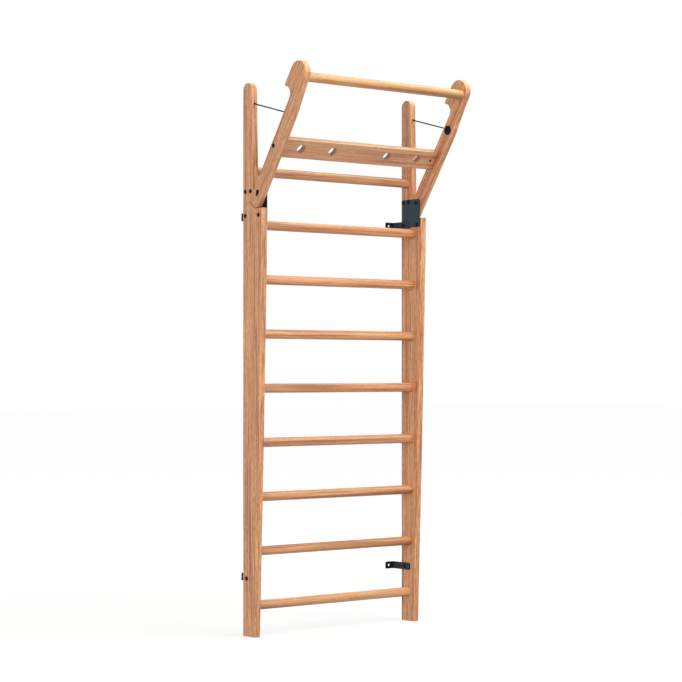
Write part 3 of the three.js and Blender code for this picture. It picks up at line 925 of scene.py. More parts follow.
def cut_away(mesh: BMesh, cutters: BMesh) -> BMesh:
    """Takes cutters out of a closed mesh.

    Args:
        mesh: The mesh to cut, which is freed.
        cutters: The closed cutters, which are freed.

    Returns:
        The cut mesh.
    """
    made = []
    for part in (mesh, cutters):
        data = bpy.data.meshes.new("cutting")
        part.to_mesh(data)
        part.free()
        made.append(bpy.data.objects.new("cutting", data))
        bpy.context.scene.collection.objects.link(made[-1])
    target, tool = made
    boolean = target.modifiers.new("cut", "BOOLEAN")
    boolean.operation = "DIFFERENCE"
    boolean.solver = "EXACT"
    boolean.object = tool
    evaluated = target.evaluated_get(bpy.context.evaluated_depsgraph_get())
    result = bmesh.new()
    result.from_mesh(evaluated.to_mesh())
    evaluated.to_mesh_clear()
    for part in made:
        data = part.data
        bpy.data.objects.remove(part)
        bpy.data.meshes.remove(data)
    return result


@dataclass(frozen=True)
class Drill:
    """A round hole along z at a place, from one height to another."""

    diameter: float
    at: Sequence[float]
    low: float
    high: float
    steps: int = 40


def drill_away(mesh: BMesh, drills: Iterable[Drill], place: Matrix = Matrix()) -> BMesh:
    """Drills holes in a closed mesh.

    Args:
        mesh: The mesh to drill, which is freed.
        drills: The holes.
        place: The matrix from the holes' frame to the mesh's.

    Returns:
        The drilled mesh.
    """
    cutters = bmesh.new()
    for drill in drills:
        radius = drill.diameter / 2
        size = {"radius1": radius, "radius2": radius, "depth": drill.high - drill.low}
        middle = Matrix.Translation((drill.at[0], drill.at[1], (drill.low + drill.high) / 2))
        bmesh.ops.create_cone(cutters, cap_ends=True, segments=drill.steps, matrix=place @ middle, **size)
    return cut_away(mesh, cutters)


def paint_recess_shade(mesh: BMesh, share: Callable[[BMFace], float]) -> None:
    """Marks the faces of wood that lie inside a recess where parts meet or inside a hole, with painted shade
    that stands for the shade falling there.

    Args:
        mesh: The mesh.
        share: Says how much painted shade a face gets there, from none to one.
    """
    mesh.normal_update()
    layer = mesh.faces.layers.float.new(RECESS_SHADE_LAYER)
    for face in mesh.faces:
        face[layer] = float(share(face))


# Posts and rungs


@dataclass
class Ladder:
    """The part that stays on the wall: two posts, and round rungs in their sockets.

    A post is bowed in front up to a shoulder, with a pocket there for the arm and a round-topped neck above.
    """

    layout: Layout
    finishes: Finishes
    foot_depth: float = 72 * MM
    front_bulge: float = 2.5 * MM
    bow_steps: int = 30
    pocket_slope: float = 0.4
    rung_diameter: float = 36 * MM
    rung_depth_share: float = 0.55
    top_rung_above_shoulder: float = 139.3 * MM

    def build(self) -> None:
        """Makes both posts, with the rungs' sockets, and the rungs from the floor up."""
        layout = self.layout
        socket = self.rung_diameter + 2 * layout.fit_gap
        spots = self._rung_spots()
        drills = [Drill(socket, spot, -layout.socket_depth, layout.socket_depth) for spot in spots]
        for side in Side:
            mesh = self._outline()
            raise_slab(mesh, layout.wood_thickness, layout.wood_edge)
            mesh = drill_away(mesh, drills)
            # Painted shade on the shoulder's top and in the arm's pocket.
            paint_recess_shade(mesh, self._in_pocket)
            place = layout.side_frame(side)
            self.finishes.upright_wood.dress(mesh, Body.WALL_FRAME, side.named("post"), place)
        for number, spot in enumerate(spots, start=1):
            place = layout.middle_frame(spot, QUARTER, "Y")
            rung = dowel(layout, self.rung_diameter)
            self.finishes.rung_wood.dress(rung, Body.WALL_FRAME, f"rung_{number}", place)

    def _front_depth(self, height: float) -> float:
        """Depth of the front edge at a height.

        Args:
            height: Height above the floor.

        Returns:
            The depth.
        """
        layout = self.layout
        if height > layout.shoulder_height:
            return layout.neck_depth(height)
        share = height / layout.shoulder_height
        straight = self.foot_depth + share * (layout.shoulder_depth - self.foot_depth)
        return straight + 4 * self.front_bulge * share * (1 - share)

    def _rung_spots(self) -> list[Vector]:
        """Depth and height of each rung's axis, from the floor up."""
        layout = self.layout
        heights = [layout.lowest_rung + layout.rung_pitch * number for number in range(layout.lower_rungs)]
        heights.append(layout.shoulder_height + self.top_rung_above_shoulder)
        return [Vector((self.rung_depth_share * self._front_depth(height), height)) for height in heights]

    def _outline(self) -> BMesh:
        """The post's outline in depth and height."""
        layout = self.layout
        half = layout.arm_width / 2
        shoulder = layout.shoulder_height
        stop = -half - layout.fit_gap
        heel = self._on_floor(stop)
        front = self._on_floor(half)
        toe = heel.lerp(front, (shoulder - heel.y) / (front.y - heel.y))
        neck_foot = self._on_neck(layout.on_arm(stop, 0.0), layout.on_arm(stop, half))
        neck_top = layout.on_arm(-half - layout.notch_gap, layout.top_reach, layout.folded_lean)

        mesh = bmesh.new()
        pen = Outline(mesh, 0.0, 0.0).line(self.foot_depth, 0.0)
        for step in range(1, self.bow_steps + 1):
            height = shoulder * step / self.bow_steps
            pen.line(self._front_depth(height), height)
        for point in (toe, heel, neck_foot, neck_top):
            pen.line(*point)
        pen.arc(*layout.top_centre, math.pi + layout.folded_lean, steps=24).close()
        return mesh

    def _on_floor(self, across: float) -> Vector:
        """A place on the pocket's floor, which lies just under the sweep of the arm's lower end.

        Args:
            across: Distance to the front of the open arm's centre line.

        Returns:
            The depth and height.
        """
        layout = self.layout
        slant = layout.arm_end_slant
        below = layout.heel_reach + layout.pocket_gap + across * math.sin(slant)
        return layout.on_arm(across, -below / math.cos(slant))

    def _on_neck(self, low: Vector, high: Vector) -> Vector:
        """Where the line through two points meets the line of the neck's front edge."""
        low_miss, high_miss = (point.x - self.layout.neck_depth(point.y) for point in (low, high))
        return low.lerp(high, low_miss / (low_miss - high_miss))

    def _in_pocket(self, face: BMFace) -> bool:
        """Whether a post's face is part of the shoulder or of the arm's pocket, which get painted shade."""
        height = face.calc_center_median().y - self.layout.shoulder_height
        return face.normal.y > self.pocket_slope and abs(height) < 2 * self.layout.arm_width


# Fasteners and steel


@dataclass(frozen=True)
class ButtonHead:
    """The domed head of a screw or sleeve nut, with a hexagon socket."""

    diameter: float = 16 * MM
    height: float = 3 * MM
    rim: float = 0.8 * MM
    crown: float = 7.6 * MM
    crown_border: float = 0.4 * MM
    hexagon: float = 4 * MM
    socket: float = 1.8 * MM
    steps: int = 36
    dome_steps: int = 6

    def turn(self, below: Profile) -> BMesh:
        """Turns a head that sits on z = 0, on top of what is below it.

        Args:
            below: Profile of the shank or sleeve under the head, from its lower end.

        Returns:
            The closed mesh.
        """
        radius = self.diameter / 2
        end = math.acos(self.crown / self.diameter)
        dome = []
        for step in range(self.dome_steps + 1):
            turn = end * step / self.dome_steps
            dome.append((radius * math.cos(turn), self.rim + (self.height - self.rim) * math.sin(turn)))
        mesh = turn_profile([*below, (radius, 0.0), *dome], self.steps)
        self._sink_socket(mesh)
        return mesh

    def on_shank(self, diameter: float, length: float) -> BMesh:
        """Turns a head on a plain shank of a diameter and length."""
        radius = diameter / 2
        return self.turn([(0.0, -length), (radius, -length), (radius, 0.0)])

    def _sink_socket(self, mesh: BMesh) -> None:
        """Closes the head's crown and sinks the hexagon socket in it.

        Args:
            mesh: The turned head, open at its crown.
        """
        rim = [edge for edge in mesh.edges if edge.is_boundary]
        crown = bmesh.ops.contextual_create(mesh, geom=rim)["faces"]
        inset_faces(mesh, crown, self.crown_border, 0.0)
        sector = math.pi / 3
        for corner in crown[0].verts:
            angle = math.atan2(corner.co.y, corner.co.x)
            reach = self.hexagon / 2 / math.cos((angle + sector / 2) % sector - sector / 2)
            corner.co.x = reach * math.cos(angle)
            corner.co.y = reach * math.sin(angle)
        sunk = bmesh.ops.extrude_face_region(mesh, geom=crown)["geom"]
        bmesh.ops.translate(mesh, verts=only(sunk, BMVert), vec=(0.0, 0.0, -self.socket))
        bmesh.ops.recalc_face_normals(mesh, faces=mesh.faces[:])


@dataclass
class HingeHardware:
    """One side's steel: the hinge plate, wall brackets, screws and sleeve nuts, and the pivot's bush."""

    layout: Layout
    finishes: Finishes
    side: Side
    head: ButtonHead = ButtonHead()
    screw_diameter: float = 6 * MM
    screw_length: float = 18 * MM
    sleeve_diameter: float = 9 * MM
    sleeve_setback: float = 4 * MM
    bore_spare: float = 2 * MM
    bush_ease: float = 0.4 * MM
    steel_thickness: float = 4 * MM
    steel_edge: float = 0.6 * MM
    plate_corner: float = 8 * MM
    plate_rear_inset: float = 6.5 * MM
    plate_front_inset: float = 8.3 * MM
    plate_below_shoulder: float = 35.7 * MM
    plate_above_shoulder: float = 74.3 * MM
    plate_screw_inset: float = 10 * MM
    plate_screw_front_inset: float = 14.7 * MM
    rear_screw_depth: float = 15 * MM
    middle_screw_depth: float = 46.6 * MM
    bracket_height: float = 28 * MM
    bracket_bend: float = 1.5 * MM
    bracket_corner: float = 6 * MM
    bracket_on_post: float = 52.7 * MM
    bracket_flange: float = 42 * MM
    bracket_hole: float = 10 * MM
    bracket_hole_inset: float = 16 * MM
    bend_cuts: int = 10
    upper_bracket_screw: float = 15 * MM
    lower_bracket_screw: float = 23 * MM
    lower_bracket_height: float = 216 * MM

    def build(self) -> None:
        """Makes the side's hardware."""
        self._build_plate()
        for name, at in self._bracket_spots().items():
            self._build_bracket(name, at)
        for name, at in {**self._plate_spots(), **self._bracket_spots()}.items():
            self._build_screw(name, at)
            self._build_nut(name, at)
        self._build_bush()

    def _plate_corners(self) -> tuple[Vector, Vector]:
        """The hinge plate's lowest and highest corner in depth and height."""
        shoulder = self.layout.shoulder_height
        front = self.layout.shoulder_depth - self.plate_front_inset
        low = Vector((self.plate_rear_inset, shoulder - self.plate_below_shoulder))
        return low, Vector((front, shoulder + self.plate_above_shoulder))

    def _plate_spots(self) -> dict[str, Vector]:
        """Depth and height of the screws through the hinge plate, of which the last is the pivot."""
        low, high = self._plate_corners()
        upper = high.y - self.plate_screw_inset
        front = high.x - self.plate_screw_front_inset
        return {
            "plate_rear": Vector((self.rear_screw_depth, upper)),
            "plate_middle": Vector((self.middle_screw_depth, upper)),
            "plate_front": Vector((front, low.y + self.plate_screw_inset)),
            "pivot": self.layout.pivot,
        }

    def _bracket_spots(self) -> dict[str, Vector]:
        """Depth and height of the screws through the wall brackets."""
        low, _ = self._plate_corners()
        return {
            "upper_bracket": Vector((self.upper_bracket_screw, low.y + self.plate_screw_inset)),
            "lower_bracket": Vector((self.lower_bracket_screw, self.lower_bracket_height)),
        }

    def _sleeve_drill(self, at: Sequence[float]) -> Drill:
        """The hole of a sleeve nut through steel."""
        reach = 2 * self.steel_thickness
        return Drill(self.sleeve_diameter + 2 * self.layout.fit_gap, at, -reach, reach, steps=24)

    def _build_plate(self) -> None:
        """Makes the hinge plate, with its lower rear corner cut out round the upper wall bracket."""
        layout = self.layout
        low, high = self._plate_corners()
        radius = self.plate_corner
        inner = self.bracket_corner
        front = self.bracket_on_post + layout.fit_gap
        top = low.y + self.plate_screw_inset + self.bracket_height / 2 + layout.fit_gap

        mesh = bmesh.new()
        pen = Outline(mesh, front, low.y).corner(high.x - radius, low.y + radius, radius, -QUARTER)
        pen.corner(high.x - radius, high.y - radius, radius, 0.0)
        pen.corner(low.x + radius, high.y - radius, radius, QUARTER)
        pen.line(low.x, top).corner(front - inner, top - inner, inner, QUARTER, -QUARTER).close()
        raise_slab(mesh, self.steel_thickness, self.steel_edge)
        mesh = drill_away(mesh, [self._sleeve_drill(at) for at in self._plate_spots().values()])
        place = layout.side_frame(self.side, (0.0, 0.0, -layout.fit_gap - self.steel_thickness))
        self.finishes.plate_steel.dress(mesh, Body.WALL_FRAME, self.side.named("hinge_plate"), place)

    def _build_bracket(self, name: str, at: Vector) -> None:
        """Makes a wall bracket from a flat strip, drilled and then bent to an angle.

        Args:
            name: Which bracket it is.
            at: Depth and height of its screw.
        """
        layout = self.layout
        thickness = self.steel_thickness
        bend_length = (self.bracket_bend + thickness / 2) * QUARTER
        bend_start = self.bracket_bend + thickness - layout.wall_gap
        flat_flange = self.bracket_flange - self.bracket_bend - thickness
        low_end = bend_start - bend_length - flat_flange

        mesh = self._strip(low_end, self.bracket_on_post)
        raise_slab(mesh, thickness, self.steel_edge)
        hole = (low_end + self.bracket_hole_inset, 0.0)
        wall_hole = Drill(self.bracket_hole, hole, -thickness, 2 * thickness, steps=32)
        mesh = drill_away(mesh, [self._sleeve_drill((at.x, 0.0)), wall_hole])
        for cut in range(self.bend_cuts + 1):
            plane = (bend_start - bend_length * cut / self.bend_cuts, 0.0, 0.0)
            geometry = [*mesh.verts, *mesh.edges, *mesh.faces]
            bmesh.ops.bisect_plane(mesh, geom=geometry, plane_co=plane, plane_no=(1.0, 0.0, 0.0))
        for corner in mesh.verts:
            self._bend(corner.co, bend_start, bend_length)
        place = layout.side_frame(self.side, (0.0, at.y, -layout.fit_gap - thickness))
        node = self.side.named(name.replace("bracket", "wall_bracket"))
        self.finishes.bracket_steel.dress(mesh, Body.WALL_FRAME, node, place)

    def _strip(self, left: float, right: float) -> BMesh:
        """A bracket's flat outline with rounded corners.

        Args:
            left: The end that goes on the wall.
            right: The end that goes on the post.

        Returns:
            The outline.
        """
        mesh = bmesh.new()
        radius = self.bracket_corner
        top = self.bracket_height / 2 - radius
        pen = Outline(mesh, left + radius, -self.bracket_height / 2)
        pen.corner(right - radius, -top, radius, -QUARTER).corner(right - radius, top, radius, 0.0)
        pen.corner(left + radius, top, radius, QUARTER).corner(left + radius, -top, radius, math.pi)
        bmesh.ops.remove_doubles(mesh, verts=mesh.verts[:], dist=MERGE_DISTANCE)
        return mesh

    def _bend(self, point: Vector, start: float, length: float) -> None:
        """Bends a point of the flat strip round the bend, away from the post.

        Args:
            point: The point, which is moved.
            start: Where the bend starts along the strip.
            length: Length of the bend along the strip's middle.
        """
        past = start - point.x
        if past <= 0:
            return
        turn = min(past / length, 1.0) * QUARTER
        radius = self.bracket_bend + point.z
        beyond = max(past - length, 0.0)
        point.x = start - radius * math.sin(turn) - beyond * math.cos(turn)
        point.z = radius * math.cos(turn) - self.bracket_bend - beyond * math.sin(turn)

    def _build_screw(self, name: str, at: Vector) -> None:
        """Makes a screw on the post's outer face.

        Args:
            name: What it holds.
            at: Its depth and height.
        """
        layout = self.layout
        mesh = self.head.on_shank(self.screw_diameter, self.screw_length)
        place = layout.side_frame(self.side, (*at, layout.wood_thickness + layout.fit_gap))
        self.finishes.black_steel.dress(mesh, Body.WALL_FRAME, self.side.named(f"{name}_screw"), place)

    def _build_nut(self, name: str, at: Vector) -> None:
        """Makes a sleeve nut, whose head sits on the steel that lies on the post's inner face.

        Args:
            name: What it holds.
            at: Its depth and height.
        """
        layout = self.layout
        outer = self.sleeve_diameter / 2
        bore = self.screw_diameter / 2 + layout.fit_gap
        seat = self.steel_thickness + 2 * layout.fit_gap
        end = self.sleeve_setback - layout.wood_thickness - seat
        bore_end = self.screw_length + self.bore_spare - layout.wood_thickness - seat
        mesh = self.head.turn([(0.0, bore_end), (bore, bore_end), (bore, end), (outer, end), (outer, 0.0)])
        place = layout.side_frame(self.side, (*at, -seat)) @ Matrix.Rotation(math.pi, 4, "X")
        self.finishes.black_steel.dress(mesh, Body.WALL_FRAME, self.side.named(f"{name}_sleeve_nut"), place)

    def _build_bush(self) -> None:
        """Makes the pivot's bush, which sits in the arm's slot."""
        layout = self.layout
        outer = layout.bush_diameter / 2
        inner = self.sleeve_diameter / 2 + layout.fit_gap
        mesh = eased_bar(outer, 0.0, layout.wood_thickness, self.bush_ease, steps=32, inner=inner)
        place = layout.side_frame(self.side, (*layout.pivot, 0.0))
        self.finishes.nylon.dress(mesh, Body.BUSHES, self.side.named("pivot_bush"), place)


# Pull-up frame


@dataclass
class PullUpFrame:
    """The frame that leans out on top: two hooked arms, a round bar, a crossboard and their fixings."""

    layout: Layout
    finishes: Finishes
    head: ButtonHead = ButtonHead()
    taper_start: float = 300 * MM
    hook_sweep: float = math.radians(118)
    hook_tip_radius: float = 2.8 * MM
    head_radius: float = 45 * MM
    head_reach: float = 477 * MM
    head_setback: float = 32 * MM
    bar_diameter: float = 36 * MM
    bar_reach: float = 475.7 * MM
    bar_setback: float = 8.5 * MM
    board_thickness: float = 26 * MM
    board_height: float = 76 * MM
    board_reach: float = 188.6 * MM
    board_inset: float = 1.9 * MM
    board_edge: float = 2 * MM
    finger_hole: float = 36 * MM
    finger_holes: Sequence[float] = (133 * MM, 282 * MM)
    hole_painted_shade: float = 0.5
    hole_wall_tilt: float = 0.6
    slot_wall_tilt: float = 0.8
    end_slope: float = 0.4
    nut_diameter: float = 10 * MM
    nut_length: float = 20 * MM
    nut_inset: float = 23 * MM
    nut_sink: float = 0.5 * MM
    nut_slot: float = 1.4 * MM
    nut_ease: float = 0.5 * MM
    bolt_diameter: float = 6 * MM
    bolt_past_nut: float = 8 * MM
    cap_diameter: float = 36 * MM
    cap_thickness: float = 3 * MM
    cap_edge: float = 1.2 * MM
    cap_edge_steps: int = 4
    cap_dish: Profile = ((0.0, 0.5 * MM), (0.6, 0.4 * MM), (0.8, 0.0))
    cap_bore: float = 28 * MM
    cap_bore_depth: float = 20 * MM
    cap_plug: float = 6 * MM
    stop_diameter: float = 9 * MM
    stop_length: float = 9 * MM
    stop_ease: float = 0.6 * MM
    cable_hole: float = 7 * MM

    def build(self) -> None:
        """Makes the frame's pieces."""
        for side in Side:
            self._build_arm(side)
            self._build_bolt(side)
            self._build_barrel_nut(side)
            self._build_cap(side)
            self._build_stop(side)
        self._build_bar()
        self._build_board()

    @property
    def stop_face(self) -> float:
        """Distance from the cable's end back to the face of the stop that the cable pulls on."""
        start, end = self.layout.cable_ends
        way = (end - start).normalized()
        cap = self.layout.on_arm(0.0, self.layout.cable_reach) - end
        rim = self.stop_diameter / 2 + abs(cap.cross(way))
        return math.sqrt((self.cap_bore / 2) ** 2 - rim**2) - cap.dot(way) - self.layout.fit_gap

    @property
    def _bolt_spot(self) -> tuple[float, float]:
        """Place of the board's middle across and along the arms, where its bolts go in."""
        return self.board_inset + (self.board_thickness - self.layout.arm_width) / 2, self.board_reach

    @property
    def _board_end(self) -> float:
        """Distance of the board's ends from the middle of the width."""
        return self.layout.clear_width / 2 - self.layout.fit_gap

    @property
    def _board_frame(self) -> Matrix:
        """The matrix from the width, the way along the arms and the way out of the board's rear face."""
        at = self.layout.on_arm(self.board_inset - self.layout.arm_width / 2, self.board_reach)
        return self.layout.middle_frame(at, QUARTER + self.layout.open_lean, "X")

    @property
    def _slot_end(self) -> float:
        """Place of the lower end of the pivot's slot along the arm, about which it is round."""
        return -self.layout.lift_travel - self.layout.slot_spare

    def _arm_outline(self) -> BMesh:
        """An arm's outline, with the slot of its pivot, across and along it."""
        layout = self.layout
        half = layout.arm_width / 2
        heel, toe = layout.heel_centre, layout.toe_centre
        slant = layout.arm_end_slant
        tip = self.hook_tip_radius
        rear = -self.head_setback - self.head_radius
        hook_across = layout.notch_radius * math.cos(self.hook_sweep) - layout.notch_setback
        hook_along = layout.notch_radius * math.sin(self.hook_sweep) + layout.notch_reach

        mesh = bmesh.new()
        pen = Outline(mesh, -half, heel.y).arc(*heel, QUARTER - slant, steps=6)
        pen.corner(*toe, layout.arm_toe_radius, -QUARTER - slant, QUARTER + slant, steps=12)
        pen.line(half, self.taper_start).ease(self.head_radius - self.head_setback, self.head_reach)
        pen.arc(-self.head_setback, self.head_reach, math.pi, steps=36)
        pen.corner(rear + tip, hook_along + tip, tip, math.pi, steps=6).line(hook_across, hook_along)
        pen.arc(-layout.notch_setback, layout.notch_reach, -self.hook_sweep, steps=24).close()

        radius = layout.bush_diameter / 2 + layout.fit_gap
        slot = Outline(mesh, radius, 0.0).arc(0.0, 0.0, math.pi, steps=16)
        slot.corner(0.0, self._slot_end, radius, math.pi, math.pi, steps=16).close()
        return mesh

    def _arm_recess_shade(self, face: BMFace) -> bool:
        """Whether an arm's face is part of its lower end or of its pivot's slot, which get painted shade.

        Args:
            face: The face, across and along the arm.

        Returns:
            True if it is.
        """
        centre = face.calc_center_median()
        radius = self.layout.bush_diameter / 2 + self.layout.wood_edge
        low = self._slot_end - radius
        wall = abs(face.normal.z) < self.slot_wall_tilt
        slot = wall and abs(centre.x) < radius and low < centre.y < radius
        return slot or (face.normal.y < -self.end_slope and centre.y < low)

    def _build_arm(self, side: Side) -> None:
        """Makes an arm, with the sockets of the bar and the cap and the holes of the bolt and the cable.

        Args:
            side: The half of the wall bars.
        """
        layout = self.layout
        gaps = 2 * layout.fit_gap
        depth = layout.socket_depth
        through = 2 * layout.wood_thickness
        drills = (
            Drill(self.bar_diameter + gaps, (-self.bar_setback, self.bar_reach), -depth, depth),
            Drill(self.cap_bore, (0.0, layout.cable_reach), -self.cap_bore_depth, self.cap_bore_depth),
            Drill(self.bolt_diameter + gaps, self._bolt_spot, -through, through, steps=20),
        )
        span = layout.cable_span
        cable_drill = Drill(self.cable_hole, ORIGIN, span - layout.arm_width, span, steps=20)
        place = layout.arm_frame(side)

        mesh = self._arm_outline()
        raise_slab(mesh, layout.wood_thickness, layout.wood_edge)
        mesh = drill_away(mesh, drills)
        mesh = drill_away(mesh, [cable_drill], place.inverted() @ layout.cable_frame(side))
        # Painted shade on the arm's lower end and in its pivot's slot.
        paint_recess_shade(mesh, self._arm_recess_shade)
        self.finishes.leaning_wood.dress(mesh, Body.PULL_UP_FRAME, side.named("arm"), place)

    def _build_bar(self) -> None:
        """Makes the pull-up bar between the arms' heads."""
        at = self.layout.on_arm(-self.bar_setback, self.bar_reach)
        place = self.layout.middle_frame(at, QUARTER, "Y")
        mesh = dowel(self.layout, self.bar_diameter)
        self.finishes.bar_wood.dress(mesh, Body.PULL_UP_FRAME, "pull_up_bar", place)

    def _finger_hole_shade(self, face: BMFace) -> float:
        """How much painted shade the crossboard's face gets on the walls of the finger holes, standing for
        the shade that falls in them.

        Args:
            face: The face, in the board's own frame.

        Returns:
            The share of painted shade, or none outside the holes.
        """
        centre = face.calc_center_median()
        across = min(abs(abs(centre.x) - spot) for spot in self.finger_holes)
        near = math.hypot(across, centre.y) < self.finger_hole / 2 + self.board_edge
        wall = abs(face.normal.z) < self.hole_wall_tilt
        return self.hole_painted_shade if near and wall else 0.0

    def _build_board(self) -> None:
        """Makes the crossboard with its finger holes, and the blind holes of the barrel nuts."""
        end = self._board_end
        half = self.board_height / 2
        thickness = self.board_thickness
        mesh = bmesh.new()
        Outline(mesh, -end, -half).line(end, -half).line(end, half).line(-end, half).close()
        for way in (-1, 1):
            for spot in self.finger_holes:
                place = Matrix.Translation((way * spot, 0.0, 0.0))
                bmesh.ops.create_circle(mesh, segments=48, radius=self.finger_hole / 2, matrix=place)
        raise_slab(mesh, thickness, self.board_edge)
        bore = self.nut_diameter + 2 * self.layout.fit_gap
        depth = self.nut_sink + self.nut_length + self.layout.fit_gap
        nut = end - self.nut_inset
        drills = (
            Drill(bore, (-nut, 0.0), -thickness, depth, steps=24),
            Drill(bore, (nut, 0.0), thickness - depth, 2 * thickness, steps=24),
        )
        mesh = drill_away(mesh, drills)
        # Painted shade on the walls of the finger holes.
        paint_recess_shade(mesh, self._finger_hole_shade)
        self.finishes.board_wood.dress(mesh, Body.PULL_UP_FRAME, "crossboard", self._board_frame)

    def _build_bolt(self, side: Side) -> None:
        """Makes the bolt through an arm into the board's end.

        Args:
            side: The half of the wall bars.
        """
        layout = self.layout
        length = layout.wood_thickness + 2 * layout.fit_gap + self.nut_inset + self.bolt_past_nut
        mesh = self.head.on_shank(self.bolt_diameter, length)
        place = layout.arm_frame(side, (*self._bolt_spot, layout.wood_thickness + layout.fit_gap))
        self.finishes.black_steel.dress(mesh, Body.PULL_UP_FRAME, side.named("crossboard_bolt"), place)

    def _build_barrel_nut(self, side: Side) -> None:
        """Makes a barrel nut across the board: the right one from the front, the left one from the rear.

        Args:
            side: The half of the wall bars.
        """
        top = self.board_thickness - self.nut_sink
        mesh = eased_bar(self.nut_diameter / 2, top - self.nut_length, top, self.nut_ease, steps=32)
        cutters = bmesh.new()
        size = Matrix.Diagonal((2 * self.nut_diameter, self.nut_slot, 2 * self.nut_slot, 1.0))
        bmesh.ops.create_cube(cutters, size=1.0, matrix=Matrix.Translation((0.0, 0.0, top)) @ size)
        mesh = cut_away(mesh, cutters)
        across = side.value * (self._board_end - self.nut_inset)
        place = self._board_frame @ Matrix.Translation((across, 0.0, 0.0))
        if side is Side.LEFT:
            over = Matrix.Translation((0.0, 0.0, self.board_thickness))
            place = place @ over @ Matrix.Rotation(math.pi, 4, "X")
        self.finishes.black_steel.dress(mesh, Body.PULL_UP_FRAME, side.named("barrel_nut"), place)

    def _build_cap(self, side: Side) -> None:
        """Makes the round cap over a cable's end, on the arm's inner face.

        Args:
            side: The half of the wall bars.
        """
        outer = self.cap_diameter / 2
        plug = self.cap_bore / 2 - self.layout.fit_gap
        seat = -self.layout.fit_gap
        face = seat - self.cap_thickness
        edge = []
        for step in range(self.cap_edge_steps + 1):
            turn = step / self.cap_edge_steps * QUARTER
            inward = self.cap_edge * (1 - math.sin(turn))
            edge.append((outer - inward, face + self.cap_edge * (1 - math.cos(turn))))
        dish = [(outer * share, face + depth) for share, depth in self.cap_dish]
        rear = [(outer, seat), (plug, seat), (plug, self.cap_plug), (0.0, self.cap_plug)]
        mesh = turn_profile([*dish, *edge, *rear])
        place = self.layout.arm_frame(side, (0.0, self.layout.cable_reach, 0.0))
        self.finishes.black_plastic.dress(mesh, Body.PULL_UP_FRAME, side.named("cable_cap"), place)

    def _build_stop(self, side: Side) -> None:
        """Makes the stop that holds a cable's end inside the arm.

        Args:
            side: The half of the wall bars.
        """
        start = self.layout.cable_span - self.stop_face
        end = start + self.stop_length
        mesh = eased_bar(self.stop_diameter / 2, start, end, self.stop_ease, steps=24)
        place = self.layout.cable_frame(side)
        self.finishes.black_steel.dress(mesh, Body.PULL_UP_FRAME, side.named("cable_stop"), place)


@dataclass
class StayCable:
    """One side's cable, which holds the open frame, and the sleeve that it leaves the post by."""

    layout: Layout
    finishes: Finishes
    side: Side
    stop_face: float
    cable_diameter: float = 5 * MM
    cable_steps: int = 16
    sleeve_diameter: float = 9 * MM
    sleeve_length: float = 20 * MM
    sleeve_proud: float = 0.5 * MM
    sleeve_ease: float = 0.4 * MM
    end_inset: float = 1 * MM
    folded_reach: float = 1.2 * MM

    def build(self) -> None:
        """Makes the cable and its sleeve."""
        self._build_cable()
        self._build_sleeve()

    def _build_cable(self) -> None:
        """Makes the cable, from inside its sleeve to its stop."""
        layout = self.layout
        start = self.sleeve_proud - self.sleeve_length + self.end_inset
        end = layout.cable_span - self.stop_face - layout.fit_gap
        radius = self.cable_diameter / 2
        mesh = turn_profile([(0.0, start), (radius, start), (radius, end), (0.0, end)], self.cable_steps)
        self._map_lay(mesh)
        place = layout.cable_frame(self.side)
        cable = self.finishes.cable.dress(mesh, Body.WALL_FRAME, self.side.named("stay_cable"), place)
        anchor = place @ Vector((0.0, 0.0, start))
        axis = place.to_3x3() @ Vector((0.0, 0.0, 1.0))
        keep = (self.folded_reach - start) / (end - start)
        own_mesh(cable)

    @staticmethod
    def _map_lay(mesh: BMesh) -> None:
        """Lays a UV map of turns round the cable and metres along it.

        Args:
            mesh: The cable's mesh along z.
        """
        layer = mesh.loops.layers.uv.new("lay")
        for face in mesh.faces:
            middle = face.calc_center_median()
            around = math.atan2(middle.y, middle.x) / (2 * math.pi)
            for loop in face.loops:
                corner = loop.vert.co
                turn = math.atan2(corner.y, corner.x) / (2 * math.pi)
                loop[layer].uv = (turn + round(around - turn), corner.z)

    def _build_sleeve(self) -> None:
        """Makes the sleeve."""
        outer = self.sleeve_diameter / 2
        inner = self.cable_diameter / 2 + self.layout.fit_gap
        low = self.sleeve_proud - self.sleeve_length
        mesh = eased_bar(outer, low, self.sleeve_proud, self.sleeve_ease, steps=32, inner=inner)
        place = self.layout.cable_frame(self.side)
        self.finishes.black_steel.dress(mesh, Body.WALL_FRAME, self.side.named("cable_sleeve"), place)


# Studio


@dataclass(frozen=True)
class Lamp:
    """A square soft light, with its power in watts."""

    name: str
    place: Sequence[float]
    size: float
    power: float
    target: Sequence[float] = (0.0, -0.2, 1.15)
    colour: Colour = (1.0, 1.0, 1.0)

    def build(self) -> None:
        """Makes the light, turned to its target."""
        data = bpy.data.lights.new(self.name, "AREA")
        data.shape = "SQUARE"
        data.size = self.size
        data.energy = self.power
        data.color = self.colour
        lamp = bpy.data.objects.new(self.name, data)
        lamp.location = self.place
        lamp.rotation_mode = "QUATERNION"
        lamp.rotation_quaternion = (Vector(self.target) - Vector(self.place)).to_track_quat("-Z", "Y")
        bpy.context.scene.collection.objects.link(lamp)


